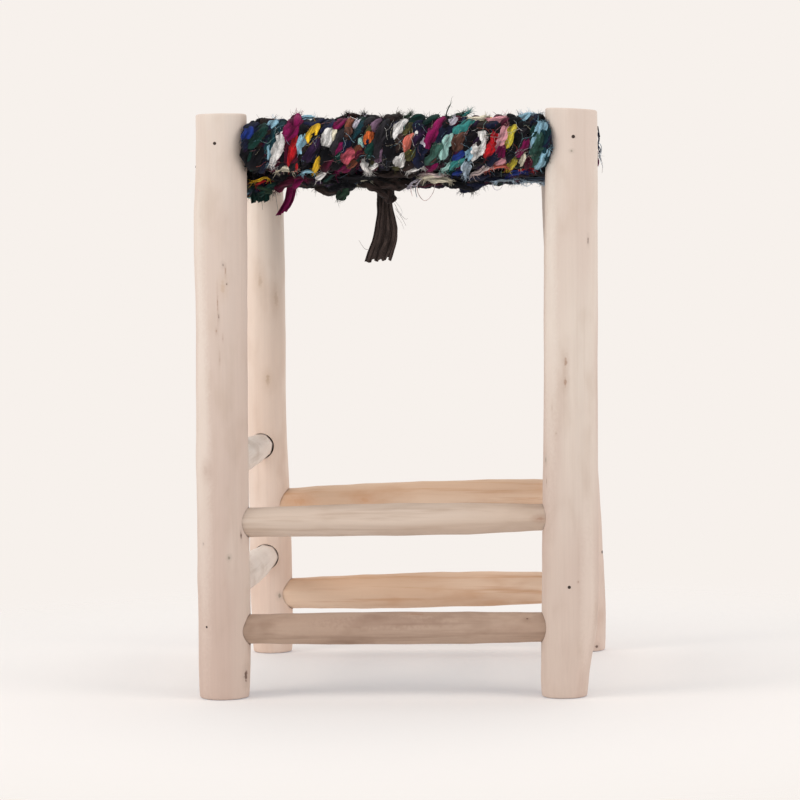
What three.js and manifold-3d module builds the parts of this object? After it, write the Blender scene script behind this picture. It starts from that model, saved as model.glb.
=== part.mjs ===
// Moroccan kursi stool: four debarked posts, whittled stretchers and seat rails let into them,
// and a seat wound and filled with rope twisted from rags. Millimetres, +Z up, the front towards -Y.

import * as THREE from 'three';
import { mergeVertices } from 'three/addons/utils/BufferGeometryUtils.js';
import Module from 'manifold-3d';

// Size of the frame, over the axes of its posts
const STOOL_HEIGHT = 450;
const POST_SPACING_ACROSS = 267;
const POST_SPACING_DEEP = 267;

// Clearances that pieces keep to each other, and how far a cut runs past what it cuts
const FIT_CLEARANCE = 0.3;
const CUT_OVERRUN = 6;

// Posts: radius, sideways crook of each log, and the slant of a saw cut at its top
const FRONT_LEFT_POST_RADIUS = 20.3;
const FRONT_RIGHT_POST_RADIUS = 21.2;
const REAR_LEFT_POST_RADIUS = 17.2;
const REAR_RIGHT_POST_RADIUS = 18.2;
const FRONT_LEFT_POST_CROOK = 3;
const FRONT_RIGHT_POST_CROOK = 6.9;
const REAR_LEFT_POST_CROOK = 2;
const REAR_RIGHT_POST_CROOK = 14;
const FRONT_RIGHT_POST_SLANT = 2.6;
const POST_EDGE_EASE = 1.6;
const POST_SIDES = 16;

// Tenons: how deep each stick goes into its post, and how its tip is eased. A tenon that is let in
// beside the axis of its post goes less deep.
const TENON_DEPTH = 28;
const SHALLOW_TENON_DEPTH = 22;
const TENON_TIP_EASE = 2;
const STICK_SIDES = 12;

// Stretchers: height of the axis at the first end, rise to the second, belly, neck and tenon radii,
// and how far the rear end of a side stretcher is let in beside the axis of its post
const FRONT_UPPER_HEIGHT = 135.6;
const FRONT_UPPER_RISE = 2;
const FRONT_UPPER_RADIUS = 12.8;
const FRONT_LOWER_HEIGHT = 52.6;
const FRONT_LOWER_RISE = 0.7;
const FRONT_LOWER_RADIUS = 12.8;
const REAR_UPPER_HEIGHT = 127;
const REAR_UPPER_RISE = 7;
const REAR_UPPER_RADIUS = 15.4;
const REAR_LOWER_HEIGHT = 49.8;
const REAR_LOWER_RISE = 3.9;
const REAR_LOWER_RADIUS = 15.4;
const LEFT_UPPER_HEIGHT = 178;
const LEFT_UPPER_RADIUS = 12.6;
const LEFT_UPPER_REAR_SHIFT = -4.2;
const LEFT_LOWER_HEIGHT = 82.8;
const LEFT_LOWER_RADIUS = 12.8;
const LEFT_LOWER_REAR_SHIFT = -3.8;
const RIGHT_UPPER_HEIGHT = 176;
const RIGHT_UPPER_RADIUS = 12.6;
const RIGHT_LOWER_HEIGHT = 86;
const RIGHT_LOWER_RADIUS = 12.8;
const STRETCHER_TENON_RADIUS = 10.3;
const STRETCHER_NECK_RADIUS = 11.5;
const SLIM_TENON_RADIUS = 9.4;
const SLIM_NECK_RADIUS = 10.2;
const STOUT_NECK_RADIUS = 13;

// Seat rails: radius, tenon, and how far each pair of axes lies below the tops of the posts
const RAIL_RADIUS = 11.5;
const RAIL_TENON_RADIUS = 6.4;
const FRONT_RAIL_DROP = 25.5;
const SIDE_RAIL_DROP = 40;

// Seat rope: its radius, the gap between neighbouring strands and its slack around a rail
const ROPE_RADIUS = 4.4;
const STRAND_GAP = 0.6;
const WRAP_SLACK = 0.4;
const ROPE_SIDES = 6;
const ARC_STEPS = 5;
const ROPE_END_SHARE = 0.3;
const LEAST_STRAND_GAP = 0.4;
const MEASURE_STEP = 2.5;

// Rag ends that hang from the underside of the seat: widths, thickness and length
const BROWN_RAG_LENGTH = 49;
const BROWN_RAG_WIDTH = 21;
const BROWN_RAG_THICKNESS = 8;
const BROWN_RAG_SWAY = 6.5;
const MAGENTA_RAG_LENGTH = 17;
const MAGENTA_RAG_WIDTH = 8;
const MAGENTA_RAG_THICKNESS = 4.5;
const MAGENTA_RAG_SWAY = 7;
const GREEN_RAG_LENGTH = 8;
const GREEN_RAG_WIDTH = 17;
const GREEN_RAG_THICKNESS = 5;
const GREEN_RAG_SWAY = 4;
const RAG_SIDES = 14;

// Nails through the tenons
const NAIL_LENGTH = 30;
const NAIL_SHANK_RADIUS = 1;
const NAIL_POINT_LENGTH = 3;
const NAIL_HEAD_RADIUS = 1.7;
const NAIL_HEAD_THICKNESS = 0.8;
const NAIL_SIDES = 8;

// Posts by name. Each row of the shape is a share of the height, of the radius and of the crook.
const posts = {
  front_left_post: {
    acrossShare: -0.5,
    deepShare: -0.5,
    radius: FRONT_LEFT_POST_RADIUS,
    crook: FRONT_LEFT_POST_CROOK,
    slant: 0,
    shapeShares: [
      [0, 0.97, -1],
      [0.05, 0.985, -0.88],
      [0.12, 1.005, -0.72],
      [0.2, 1.02, -0.66],
      [0.3, 1, -0.46],
      [0.42, 0.998, -0.52],
      [0.54, 0.998, -0.26],
      [0.66, 0.99, 0.05],
      [0.76, 1.012, 0.07],
      [0.83, 1.008, 0.18],
      [0.89, 0.984, 0.55],
      [0.95, 0.973, 0.8],
      [1, 0.97, 0.93],
    ],
  },
  front_right_post: {
    acrossShare: 0.5,
    deepShare: -0.5,
    radius: FRONT_RIGHT_POST_RADIUS,
    crook: FRONT_RIGHT_POST_CROOK,
    slant: FRONT_RIGHT_POST_SLANT,
    shapeShares: [
      [0, 0.84, -1],
      [0.035, 0.87, -0.92],
      [0.08, 0.945, -0.64],
      [0.115, 1.01, -0.39],
      [0.165, 1.027, -0.23],
      [0.25, 1.018, -0.14],
      [0.35, 1, -0.05],
      [0.5, 0.972, 0.12],
      [0.64, 0.97, 0.23],
      [0.75, 0.968, 0.33],
      [0.85, 0.95, 0.47],
      [0.93, 0.932, 0.59],
      [1, 0.93, 0.6],
    ],
  },
  rear_left_post: {
    acrossShare: -0.5,
    deepShare: 0.5,
    radius: REAR_LEFT_POST_RADIUS,
    crook: REAR_LEFT_POST_CROOK,
    slant: 0,
    shapeShares: [
      [0, 0.99, 0.15],
      [0.1, 1, 0.5],
      [0.2, 1.005, 0.42],
      [0.33, 1.01, -0.3],
      [0.42, 1, -0.9],
      [0.5, 0.99, -1],
      [0.6, 1, -0.6],
      [0.72, 1.01, -0.5],
      [0.86, 1, -0.42],
      [1, 0.98, -0.4],
    ],
  },
  rear_right_post: {
    acrossShare: 0.5,
    deepShare: 0.5,
    radius: REAR_RIGHT_POST_RADIUS,
    crook: REAR_RIGHT_POST_CROOK,
    slant: 0,
    shapeShares: [
      [0, 0.985, 0.09],
      [0.08, 1, 0.105],
      [0.17, 1.005, 0.03],
      [0.25, 1, -0.07],
      [0.34, 0.99, -0.23],
      [0.5, 1, -0.43],
      [0.66, 1.01, -0.63],
      [0.82, 1, -0.82],
      [0.92, 0.99, -0.93],
      [1, 0.98, -1],
    ],
  },
};

// Bellies of the sticks: a share of the clear length and of the way from neck to belly radius
const spindleShares = [
  [0.1, 0.36],
  [0.27, 0.78],
  [0.5, 1],
  [0.75, 0.82],
  [0.92, 0.34],
];
const railShares = [
  [0.3, 1],
  [0.7, 1],
];

// Sticks by name: the two posts that hold each, and its sizes at either end
const frontRailHeight = STOOL_HEIGHT - FRONT_RAIL_DROP;
const sideRailHeight = STOOL_HEIGHT - SIDE_RAIL_DROP;
const sticks = {
  front_seat_rail: seatRail('front_left_post', 'front_right_post', frontRailHeight),
  rear_seat_rail: seatRail('rear_left_post', 'rear_right_post', frontRailHeight),
  left_seat_rail: seatRail('front_left_post', 'rear_left_post', sideRailHeight),
  right_seat_rail: seatRail('front_right_post', 'rear_right_post', sideRailHeight),
  front_upper_stretcher: {
    ends: ['front_left_post', 'front_right_post'],
    height: FRONT_UPPER_HEIGHT,
    rise: FRONT_UPPER_RISE,
    belly: FRONT_UPPER_RADIUS,
    necks: [STRETCHER_NECK_RADIUS, SLIM_NECK_RADIUS],
    tenons: [STRETCHER_TENON_RADIUS, SLIM_TENON_RADIUS],
    depths: [TENON_DEPTH, TENON_DEPTH],
    shift: 0,
    shapeShares: spindleShares,
  },
  front_lower_stretcher: {
    ends: ['front_left_post', 'front_right_post'],
    height: FRONT_LOWER_HEIGHT,
    rise: FRONT_LOWER_RISE,
    belly: FRONT_LOWER_RADIUS,
    necks: [STRETCHER_NECK_RADIUS, STRETCHER_NECK_RADIUS],
    tenons: [STRETCHER_TENON_RADIUS, STRETCHER_TENON_RADIUS],
    depths: [TENON_DEPTH, TENON_DEPTH],
    shift: 0,
    shapeShares: spindleShares,
  },
  rear_upper_stretcher: {
    ends: ['rear_left_post', 'rear_right_post'],
    height: REAR_UPPER_HEIGHT,
    rise: REAR_UPPER_RISE,
    belly: REAR_UPPER_RADIUS,
    necks: [STOUT_NECK_RADIUS, STOUT_NECK_RADIUS],
    tenons: [STRETCHER_TENON_RADIUS, STRETCHER_TENON_RADIUS],
    depths: [TENON_DEPTH, TENON_DEPTH],
    shift: 0,
    shapeShares: spindleShares,
  },
  rear_lower_stretcher: {
    ends: ['rear_left_post', 'rear_right_post'],
    height: REAR_LOWER_HEIGHT,
    rise: REAR_LOWER_RISE,
    belly: REAR_LOWER_RADIUS,
    necks: [STOUT_NECK_RADIUS, STOUT_NECK_RADIUS],
    tenons: [STRETCHER_TENON_RADIUS, STRETCHER_TENON_RADIUS],
    depths: [TENON_DEPTH, TENON_DEPTH],
    shift: 0,
    shapeShares: spindleShares,
  },
  left_upper_stretcher: leftStretcher(LEFT_UPPER_HEIGHT, LEFT_UPPER_RADIUS, LEFT_UPPER_REAR_SHIFT),
  left_lower_stretcher: leftStretcher(LEFT_LOWER_HEIGHT, LEFT_LOWER_RADIUS, LEFT_LOWER_REAR_SHIFT),
  right_upper_stretcher: rightStretcher(RIGHT_UPPER_HEIGHT, RIGHT_UPPER_RADIUS),
  right_lower_stretcher: rightStretcher(RIGHT_LOWER_HEIGHT, RIGHT_LOWER_RADIUS),
};

// Nails by name: the post and the stick they pin, the bearing from the front in degrees towards
// the right, and how far above the axis of the stick they stand as a share of its tenon radius
const nails = {
  front_rail_left_nail: pin('front_left_post', 'front_seat_rail', -7, 0.42),
  front_rail_right_nail: pin('front_right_post', 'front_seat_rail', 6, 0.42),
  rear_rail_left_nail: pin('rear_left_post', 'rear_seat_rail', 186, 0.3),
  rear_rail_right_nail: pin('rear_right_post', 'rear_seat_rail', 174, 0.3),
  left_rail_front_nail: pin('front_left_post', 'left_seat_rail', -92, 0),
  left_rail_rear_nail: pin('rear_left_post', 'left_seat_rail', -88, 0),
  right_rail_front_nail: pin('front_right_post', 'right_seat_rail', 92, 0),
  right_rail_rear_nail: pin('rear_right_post', 'right_seat_rail', 88, 0),
  front_lower_left_nail: pin('front_left_post', 'front_lower_stretcher', -34, 0.38),
  right_lower_front_nail: pin('front_right_post', 'right_lower_stretcher', 0, 0),
  right_lower_rear_nail: pin('rear_right_post', 'right_lower_stretcher', 76, -0.2),
};

// Widths and thicknesses down a rag: a share of its length from the hem up, of width, of
// thickness, and of the sway to the left
const ragShares = [
  [0, 0.92, 0.5, 1],
  [0.08, 1, 0.6, 0.92],
  [0.36, 0.98, 0.9, 0.42],
  [0.56, 0.9, 1, 0.08],
  [0.7, 0.68, 1, 0.02],
  [1, 0.6, 0.92, 0],
];
const RAG_PLEATS = 5;
const RAG_PLEAT_SHARE = 0.14;
const RAG_HEM_SLANT_SHARE = 0.03;

// Rag ends by name: place along the first strands of the underside as a share of the width
// between the posts, counted from the left
const rags = {
  brown_rag_tail: {
    placeShare: 0.464,
    strandShare: 0.02,
    length: BROWN_RAG_LENGTH,
    width: BROWN_RAG_WIDTH,
    thickness: BROWN_RAG_THICKNESS,
    sway: BROWN_RAG_SWAY,
    color: 0x3b302c,
  },
  magenta_rag_tail: {
    placeShare: 0.175,
    strandShare: 0.02,
    length: MAGENTA_RAG_LENGTH,
    width: MAGENTA_RAG_WIDTH,
    thickness: MAGENTA_RAG_THICKNESS,
    sway: MAGENTA_RAG_SWAY,
    color: 0x86134f,
  },
  green_rag_tail: {
    placeShare: 0.085,
    strandShare: 0.02,
    length: GREEN_RAG_LENGTH,
    width: GREEN_RAG_WIDTH,
    thickness: GREEN_RAG_THICKNESS,
    sway: GREEN_RAG_SWAY,
    color: 0x1d3a2e,
  },
};

const wasm = await Module();
wasm.setup();
const LATHE_AXIS = new THREE.Vector3(0, 1, 0);
const UP = new THREE.Vector3(0, 0, 1);
const ropeGirth = 2 * ROPE_RADIUS;
const wrapRadius = RAIL_RADIUS + ROPE_RADIUS + WRAP_SLACK;
const arcRadius = wrapRadius / Math.cos(Math.PI / (2 * ARC_STEPS));

// A seat rail between two posts, level at one height
function seatRail(first, second, height) {
  return {
    ends: [first, second],
    height,
    rise: 0,
    belly: RAIL_RADIUS,
    necks: [RAIL_RADIUS, RAIL_RADIUS],
    tenons: [RAIL_TENON_RADIUS, RAIL_TENON_RADIUS],
    depths: [TENON_DEPTH, TENON_DEPTH],
    shift: 0,
    shapeShares: railShares,
  };
}

// A left stretcher, level at one height, its slim rear end let in beside the axis of its post
function leftStretcher(height, belly, shift) {
  return {
    ends: ['front_left_post', 'rear_left_post'],
    height,
    rise: 0,
    belly,
    necks: [STRETCHER_NECK_RADIUS, SLIM_NECK_RADIUS],
    tenons: [STRETCHER_TENON_RADIUS, SLIM_TENON_RADIUS],
    depths: [TENON_DEPTH, SHALLOW_TENON_DEPTH],
    shift,
    shapeShares: spindleShares,
  };
}

// A right stretcher, level at one height
function rightStretcher(height, belly) {
  return {
    ends: ['front_right_post', 'rear_right_post'],
    height,
    rise: 0,
    belly,
    necks: [STRETCHER_NECK_RADIUS, STRETCHER_NECK_RADIUS],
    tenons: [STRETCHER_TENON_RADIUS, STRETCHER_TENON_RADIUS],
    depths: [TENON_DEPTH, TENON_DEPTH],
    shift: 0,
    shapeShares: spindleShares,
  };
}

// One nail through a post into a tenon
function pin(post, stick, bearing, riseShare) {
  return { post, stick, bearing, riseShare };
}

// Reads one column of a table of shares at a place between its rows
function shareAt(rows, column, place) {
  const next = rows.findIndex((row) => row[0] >= place);
  if (next === 0) {
    return rows[0][column];
  }
  if (next < 0) {
    return rows[rows.length - 1][column];
  }
  const low = rows[next - 1];
  const high = rows[next];
  return THREE.MathUtils.mapLinear(place, low[0], high[0], low[column], high[column]);
}

function postRadiusAt(post, height) {
  return post.radius * shareAt(post.shapeShares, 1, height / STOOL_HEIGHT);
}

function postCrookAt(post, height) {
  return post.crook * shareAt(post.shapeShares, 2, height / STOOL_HEIGHT);
}

// Centre of a post at a height, in the frame of the stool
function postCentreAt(post, height) {
  const x = post.acrossShare * POST_SPACING_ACROSS + postCrookAt(post, height);
  return new THREE.Vector3(x, post.deepShare * POST_SPACING_DEEP, height);
}

// A closed solid of revolution about its local Y, from rows of radius and height
function turned(rows, sides) {
  const profile = rows.map(([radius, height]) => new THREE.Vector2(radius, height));
  return new THREE.LatheGeometry(profile, sides);
}

// Turns a closed three.js shape into a solid that can be cut
function toSolid(geometry) {
  const bare = geometry.clone();
  bare.deleteAttribute('normal');
  bare.deleteAttribute('uv');
  const merged = mergeVertices(bare);
  const corners = merged.getIndex().array;
  const kept = [];
  for (let i = 0; i < corners.length; i += 3) {
    const [a, b, c] = [corners[i], corners[i + 1], corners[i + 2]];
    if (a !== b && b !== c && c !== a) {
      kept.push(a, b, c);
    }
  }
  const vertProperties = new Float32Array(merged.getAttribute('position').array);
  const triVerts = new Uint32Array(kept);
  return new wasm.Manifold(new wasm.Mesh({ numProp: 3, vertProperties, triVerts }));
}

// Turns a cut solid back into a three.js shape
function toGeometry(solid) {
  const mesh = solid.getMesh();
  const geometry = new THREE.BufferGeometry();
  geometry.setAttribute('position', new THREE.BufferAttribute(mesh.vertProperties, 3));
  geometry.setIndex(new THREE.BufferAttribute(mesh.triVerts, 1));
  return geometry;
}

// Cuts shapes that stand in the frame of the stool out of a placed mesh
function carve(mesh, cutters) {
  mesh.updateMatrix();
  const toLocal = mesh.matrix.clone().invert();
  let solid = toSolid(mesh.geometry);
  for (const cutter of cutters) {
    solid = solid.subtract(toSolid(cutter.clone().applyMatrix4(toLocal)));
  }
  mesh.geometry = toGeometry(solid);
}

// Stands a lathed shape along a line: its foot at the start, its local Y along the direction
function placedAlong(geometry, start, direction) {
  const turn = new THREE.Quaternion().setFromUnitVectors(LATHE_AXIS, direction);
  const placed = geometry.clone().applyQuaternion(turn);
  return placed.translate(start.x, start.y, start.z);
}

function named(name, geometry, material) {
  const mesh = new THREE.Mesh(geometry, material);
  mesh.name = name;
  return mesh;
}

function wood(color) {
  return new THREE.MeshStandardMaterial({ color, roughness: 0.78, metalness: 0 });
}

function cloth(color) {
  return new THREE.MeshStandardMaterial({ color, roughness: 0.95, metalness: 0 });
}

// Materials of the four kinds of piece
const postWood = wood(0xdfcfc3);
const frontStickWood = wood(0xcfb9a6);
const rearStickWood = wood(0xd9bb94);
const sideStickWood = wood(0xd6c8bb);
const nailSteel = new THREE.MeshStandardMaterial({ color: 0x3d3733, roughness: 0.5, metalness: 0.9 });

// A debarked log: lathed by its rows, then bent sideways, with eased edges and a slanted top
function postMesh(name, post) {
  const topEase = STOOL_HEIGHT - POST_EDGE_EASE;
  const rows = [[0, 0]];
  rows.push([postRadiusAt(post, 0) - POST_EDGE_EASE, 0]);
  rows.push([postRadiusAt(post, POST_EDGE_EASE), POST_EDGE_EASE]);
  for (const [heightShare] of post.shapeShares.slice(1, -1)) {
    const height = heightShare * STOOL_HEIGHT;
    rows.push([postRadiusAt(post, height), height]);
  }
  rows.push([postRadiusAt(post, topEase), topEase]);
  rows.push([postRadiusAt(post, STOOL_HEIGHT) - POST_EDGE_EASE, STOOL_HEIGHT]);
  rows.push([0, STOOL_HEIGHT]);
  const geometry = turned(rows, POST_SIDES).rotateX(Math.PI / 2);
  const places = geometry.getAttribute('position');
  const topRadius = postRadiusAt(post, STOOL_HEIGHT);
  for (let i = 0; i < places.count; i += 1) {
    const x = places.getX(i);
    const z = places.getZ(i);
    const fallShare = z >= topEase - FIT_CLEARANCE ? (x + topRadius) / (2 * topRadius) : 0;
    places.setX(i, x + postCrookAt(post, z));
    places.setZ(i, z - fallShare * post.slant);
  }
  const mesh = named(name, geometry, postWood);
  mesh.position.set(post.acrossShare * POST_SPACING_ACROSS, post.deepShare * POST_SPACING_DEEP, 0);
  return mesh;
}

// The line of a stick: where it crosses its two posts, its direction and its two faces
function stickLine(stick) {
  const [first, second] = stick.ends.map((end) => posts[end]);
  const from = postCentreAt(first, stick.height);
  const to = postCentreAt(second, stick.height + stick.rise);
  to.x += stick.shift;
  const direction = to.clone().sub(from).normalize();
  const span = from.distanceTo(to);
  const firstFace = postRadiusAt(first, stick.height);
  const secondFace = span - postRadiusAt(second, stick.height + stick.rise);
  return { from, direction, firstFace, secondFace };
}

// A whittled stick: two tenons with eased tips, and a belly between its necks
function stickMesh(name, stick, material) {
  const { from, direction, firstFace, secondFace } = stickLine(stick);
  const [firstTenon, secondTenon] = stick.tenons;
  const [firstNeck, secondNeck] = stick.necks;
  const [firstDepth, secondDepth] = stick.depths;
  const start = firstFace - firstDepth;
  const end = secondFace + secondDepth;
  const firstShoulder = firstFace + FIT_CLEARANCE;
  const secondShoulder = secondFace - FIT_CLEARANCE;
  const rows = [
    [0, start],
    [firstTenon - TENON_TIP_EASE, start],
    [firstTenon, start + TENON_TIP_EASE],
    [firstTenon, firstShoulder],
    [firstNeck, firstShoulder + FIT_CLEARANCE],
  ];
  for (const [lengthShare, bellyShare] of stick.shapeShares) {
    const neck = THREE.MathUtils.lerp(firstNeck, secondNeck, lengthShare);
    const radius = THREE.MathUtils.lerp(neck, stick.belly, bellyShare);
    rows.push([radius, THREE.MathUtils.lerp(firstShoulder, secondShoulder, lengthShare)]);
  }
  rows.push([secondNeck, secondShoulder - FIT_CLEARANCE]);
  rows.push([secondTenon, secondShoulder]);
  rows.push([secondTenon, end - TENON_TIP_EASE]);
  rows.push([secondTenon - TENON_TIP_EASE, end]);
  rows.push([0, end]);
  const mesh = named(name, turned(rows, STICK_SIDES), material);
  mesh.position.copy(from);
  mesh.quaternion.setFromUnitVectors(LATHE_AXIS, direction);
  return mesh;
}

// The two blind holes that a stick needs, each with the post that it is cut into
function mortises(stick) {
  const { from, direction, firstFace, secondFace } = stickLine(stick);
  const [firstTenon, secondTenon] = stick.tenons;
  const firstFloor = firstFace - stick.depths[0] - FIT_CLEARANCE;
  const secondFloor = secondFace + stick.depths[1] + FIT_CLEARANCE;
  const hole = (tenon, low, high) => {
    const radius = tenon + FIT_CLEARANCE;
    const shape = turned([[0, low], [radius, low], [radius, high], [0, high]], STICK_SIDES);
    return placedAlong(shape, from, direction);
  };
  return [
    { post: stick.ends[0], cutter: hole(firstTenon, firstFloor, firstFace + CUT_OVERRUN) },
    { post: stick.ends[1], cutter: hole(secondTenon, secondFace - CUT_OVERRUN, secondFloor) },
  ];
}

// A nail, or with a clearance the hole for it, from its point at zero to its head
function nailShape(clearance, overrun) {
  const shank = NAIL_SHANK_RADIUS + clearance;
  const head = NAIL_HEAD_RADIUS + clearance;
  const neck = NAIL_LENGTH - NAIL_HEAD_THICKNESS - clearance;
  return turned([
    [0, -clearance],
    [shank, NAIL_POINT_LENGTH - clearance],
    [shank, neck],
    [head, neck],
    [head, NAIL_LENGTH + overrun],
    [0, NAIL_LENGTH + overrun],
  ], NAIL_SIDES);
}

// Where a nail starts inside its post, and the direction from there to its head
function nailLine(nail) {
  const post = posts[nail.post];
  const stick = sticks[nail.stick];
  const atSecond = stick.ends[1] === nail.post;
  const tenon = stick.tenons[atSecond ? 1 : 0];
  const height = stick.height + (atSecond ? stick.rise : 0) + nail.riseShare * tenon;
  const bearing = THREE.MathUtils.degToRad(nail.bearing);
  const direction = new THREE.Vector3(Math.sin(bearing), -Math.cos(bearing), 0);
  const start = postCentreAt(post, height);
  start.addScaledVector(direction, postRadiusAt(post, height) - NAIL_LENGTH);
  return { start, direction };
}

// The clear stretch of a rail for a winding: a first and a last place on its axis, one rope
// radius and a gap inside the faces of its posts
function clearStretch(rail) {
  const { from, direction, firstFace, secondFace } = stickLine(rail);
  const inset = ROPE_RADIUS + STRAND_GAP;
  return {
    first: from.clone().addScaledVector(direction, firstFace + inset),
    last: from.clone().addScaledVector(direction, secondFace - inset),
  };
}

// Route of a rope wound around two rails: it passes over both, round the outside of each, and
// steps one strand sideways on the underside
function windingRoute(near, far) {
  const reach = Math.min(near.first.distanceTo(near.last), far.first.distanceTo(far.last));
  const loops = Math.floor(reach / (ropeGirth + STRAND_GAP)) + 1;
  const nearAt = (k) => near.first.clone().lerp(near.last, k / (loops - 1));
  const farAt = (k) => far.first.clone().lerp(far.last, k / (loops - 1));
  const underNear = (k) => nearAt(k).addScaledVector(UP, -arcRadius);
  const underFar = (k) => farAt(k).addScaledVector(UP, -arcRadius);
  const route = [underNear(0).lerp(underFar(-1), ROPE_END_SHARE)];
  for (let k = 0; k < loops; k += 1) {
    const outward = nearAt(k).sub(farAt(k)).setZ(0).normalize();
    for (let step = 0; step <= ARC_STEPS; step += 1) {
      const angle = Math.PI * (step / ARC_STEPS - 1 / 2);
      const place = nearAt(k).addScaledVector(outward, arcRadius * Math.cos(angle));
      route.push(place.addScaledVector(UP, arcRadius * Math.sin(angle)));
    }
    for (let step = 0; step <= ARC_STEPS; step += 1) {
      const angle = Math.PI * (1 / 2 - step / ARC_STEPS);
      const place = farAt(k).addScaledVector(outward, -arcRadius * Math.cos(angle));
      route.push(place.addScaledVector(UP, arcRadius * Math.sin(angle)));
    }
  }
  route.push(underFar(loops - 1).lerp(underNear(loops), ROPE_END_SHARE));
  return { route, loops };
}

// One unbroken tube along a route whose turns all lie across the rail direction
function ropeTube(route, railDirection) {
  const positions = [];
  const index = [];
  const last = route.length - 1;
  route.forEach((place, i) => {
    const before = place.clone().sub(route[Math.max(i - 1, 0)]).normalize();
    const after = route[Math.min(i + 1, last)].clone().sub(place).normalize();
    const tangent = before.add(after).normalize();
    const across = railDirection.clone();
    across.addScaledVector(tangent, -across.dot(tangent)).normalize();
    const over = tangent.clone().cross(across);
    for (let k = 0; k < ROPE_SIDES; k += 1) {
      const angle = (2 * Math.PI * k) / ROPE_SIDES;
      const corner = place.clone().addScaledVector(across, ROPE_RADIUS * Math.cos(angle));
      corner.addScaledVector(over, ROPE_RADIUS * Math.sin(angle));
      positions.push(corner.x, corner.y, corner.z);
    }
  });
  const at = (i, k) => i * ROPE_SIDES + (k % ROPE_SIDES);
  for (let i = 0; i < last; i += 1) {
    for (let k = 0; k < ROPE_SIDES; k += 1) {
      index.push(at(i, k), at(i, k + 1), at(i + 1, k));
      index.push(at(i, k + 1), at(i + 1, k + 1), at(i + 1, k));
    }
  }
  for (let k = 1; k < ROPE_SIDES - 1; k += 1) {
    index.push(at(0, 0), at(0, k + 1), at(0, k));
    index.push(at(last, 0), at(last, k), at(last, k + 1));
  }
  const geometry = new THREE.BufferGeometry();
  geometry.setAttribute('position', new THREE.Float32BufferAttribute(positions, 3));
  geometry.setIndex(index);
  return geometry;
}

// Least gap of a rope to itself, measured between points along its route, and its length
function measureRope(route) {
  const points = [];
  let length = 0;
  for (let i = 1; i < route.length; i += 1) {
    const run = route[i].distanceTo(route[i - 1]);
    const steps = Math.ceil(run / MEASURE_STEP);
    for (let step = 0; step < steps; step += 1) {
      const place = route[i - 1].clone().lerp(route[i], step / steps);
      points.push({ place, along: length + (run * step) / steps });
    }
    length += run;
  }
  let least = Infinity;
  const passed = 4 * ropeGirth;
  for (let i = 0; i < points.length; i += 1) {
    for (let j = i + 1; j < points.length; j += 1) {
      if (points[j].along - points[i].along > passed) {
        least = Math.min(least, points[i].place.distanceToSquared(points[j].place));
      }
    }
  }
  return { gap: Math.sqrt(least) - ropeGirth, length };
}

// A winding over two rails, with its measures printed
function windingMesh(name, nearRail, farRail, material) {
  const near = clearStretch(nearRail);
  const far = clearStretch(farRail);
  const { route, loops } = windingRoute(near, far);
  const { gap, length } = measureRope(route);
  console.log(`${name}: ${loops} loops, ${(length / 1000).toFixed(2)} m of rope, least gap to itself `
    + `${gap.toFixed(2)} mm, to stay over ${LEAST_STRAND_GAP} mm`);
  const railDirection = near.last.clone().sub(near.first).normalize();
  return named(name, ropeTube(route, railDirection), material);
}

// A rag end that hangs pleated from the underside, its hem cut on a slant
function ragMesh(name, rag) {
  const rows = [[0, 0]];
  for (const [lengthShare] of ragShares) {
    rows.push([1, lengthShare]);
  }
  rows.push([0, 1]);
  const geometry = turned(rows, RAG_SIDES).rotateX(Math.PI / 2);
  const places = geometry.getAttribute('position');
  for (let i = 0; i < places.count; i += 1) {
    const x = places.getX(i);
    const y = places.getY(i);
    const share = places.getZ(i);
    const pleat = 1 + RAG_PLEAT_SHARE * Math.cos(RAG_PLEATS * Math.atan2(y, x));
    const width = (rag.width / 2) * shareAt(ragShares, 1, share);
    const thickness = (rag.thickness / 2) * shareAt(ragShares, 2, share) * pleat;
    const slant = RAG_HEM_SLANT_SHARE * rag.length * x * (1 - share);
    places.setX(i, x * width - rag.sway * shareAt(ragShares, 3, share));
    places.setY(i, y * thickness);
    places.setZ(i, (share - 1) * rag.length + slant);
  }
  const left = clearStretch(sticks.left_seat_rail);
  const right = clearStretch(sticks.right_seat_rail);
  const leftPlace = left.first.lerp(left.last, rag.strandShare);
  const rightPlace = right.first.lerp(right.last, rag.strandShare);
  const mesh = named(name, geometry, cloth(rag.color));
  mesh.position.copy(leftPlace.lerp(rightPlace, rag.placeShare));
  mesh.position.z -= arcRadius + ROPE_RADIUS + FIT_CLEARANCE;
  return mesh;
}

// Frame: posts with their blind holes, and the sticks let into them
const frame = new THREE.Group();
const cuts = Object.values(sticks).flatMap((stick) => mortises(stick));
const nailHoles = Object.values(nails).map((nail) => {
  const { start, direction } = nailLine(nail);
  return { ...nail, cutter: placedAlong(nailShape(FIT_CLEARANCE, CUT_OVERRUN), start, direction) };
});
for (const [name, post] of Object.entries(posts)) {
  const mesh = postMesh(name, post);
  const holes = [...cuts, ...nailHoles].filter((cut) => cut.post === name);
  carve(mesh, holes.map((hole) => hole.cutter));
  frame.add(mesh);
}
for (const [name, stick] of Object.entries(sticks)) {
  let material = sideStickWood;
  if (name.startsWith('front')) {
    material = frontStickWood;
  }
  if (name.startsWith('rear')) {
    material = rearStickWood;
  }
  const mesh = stickMesh(name, stick, material);
  const holes = nailHoles.filter((hole) => hole.stick === name);
  carve(mesh, holes.map((hole) => hole.cutter));
  frame.add(mesh);
}

// Nails
const fastenings = new THREE.Group();
for (const [name, nail] of Object.entries(nails)) {
  const { start, direction } = nailLine(nail);
  const mesh = named(name, nailShape(0, 0), nailSteel);
  mesh.position.copy(start);
  mesh.quaternion.setFromUnitVectors(LATHE_AXIS, direction);
  fastenings.add(mesh);
}

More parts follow.
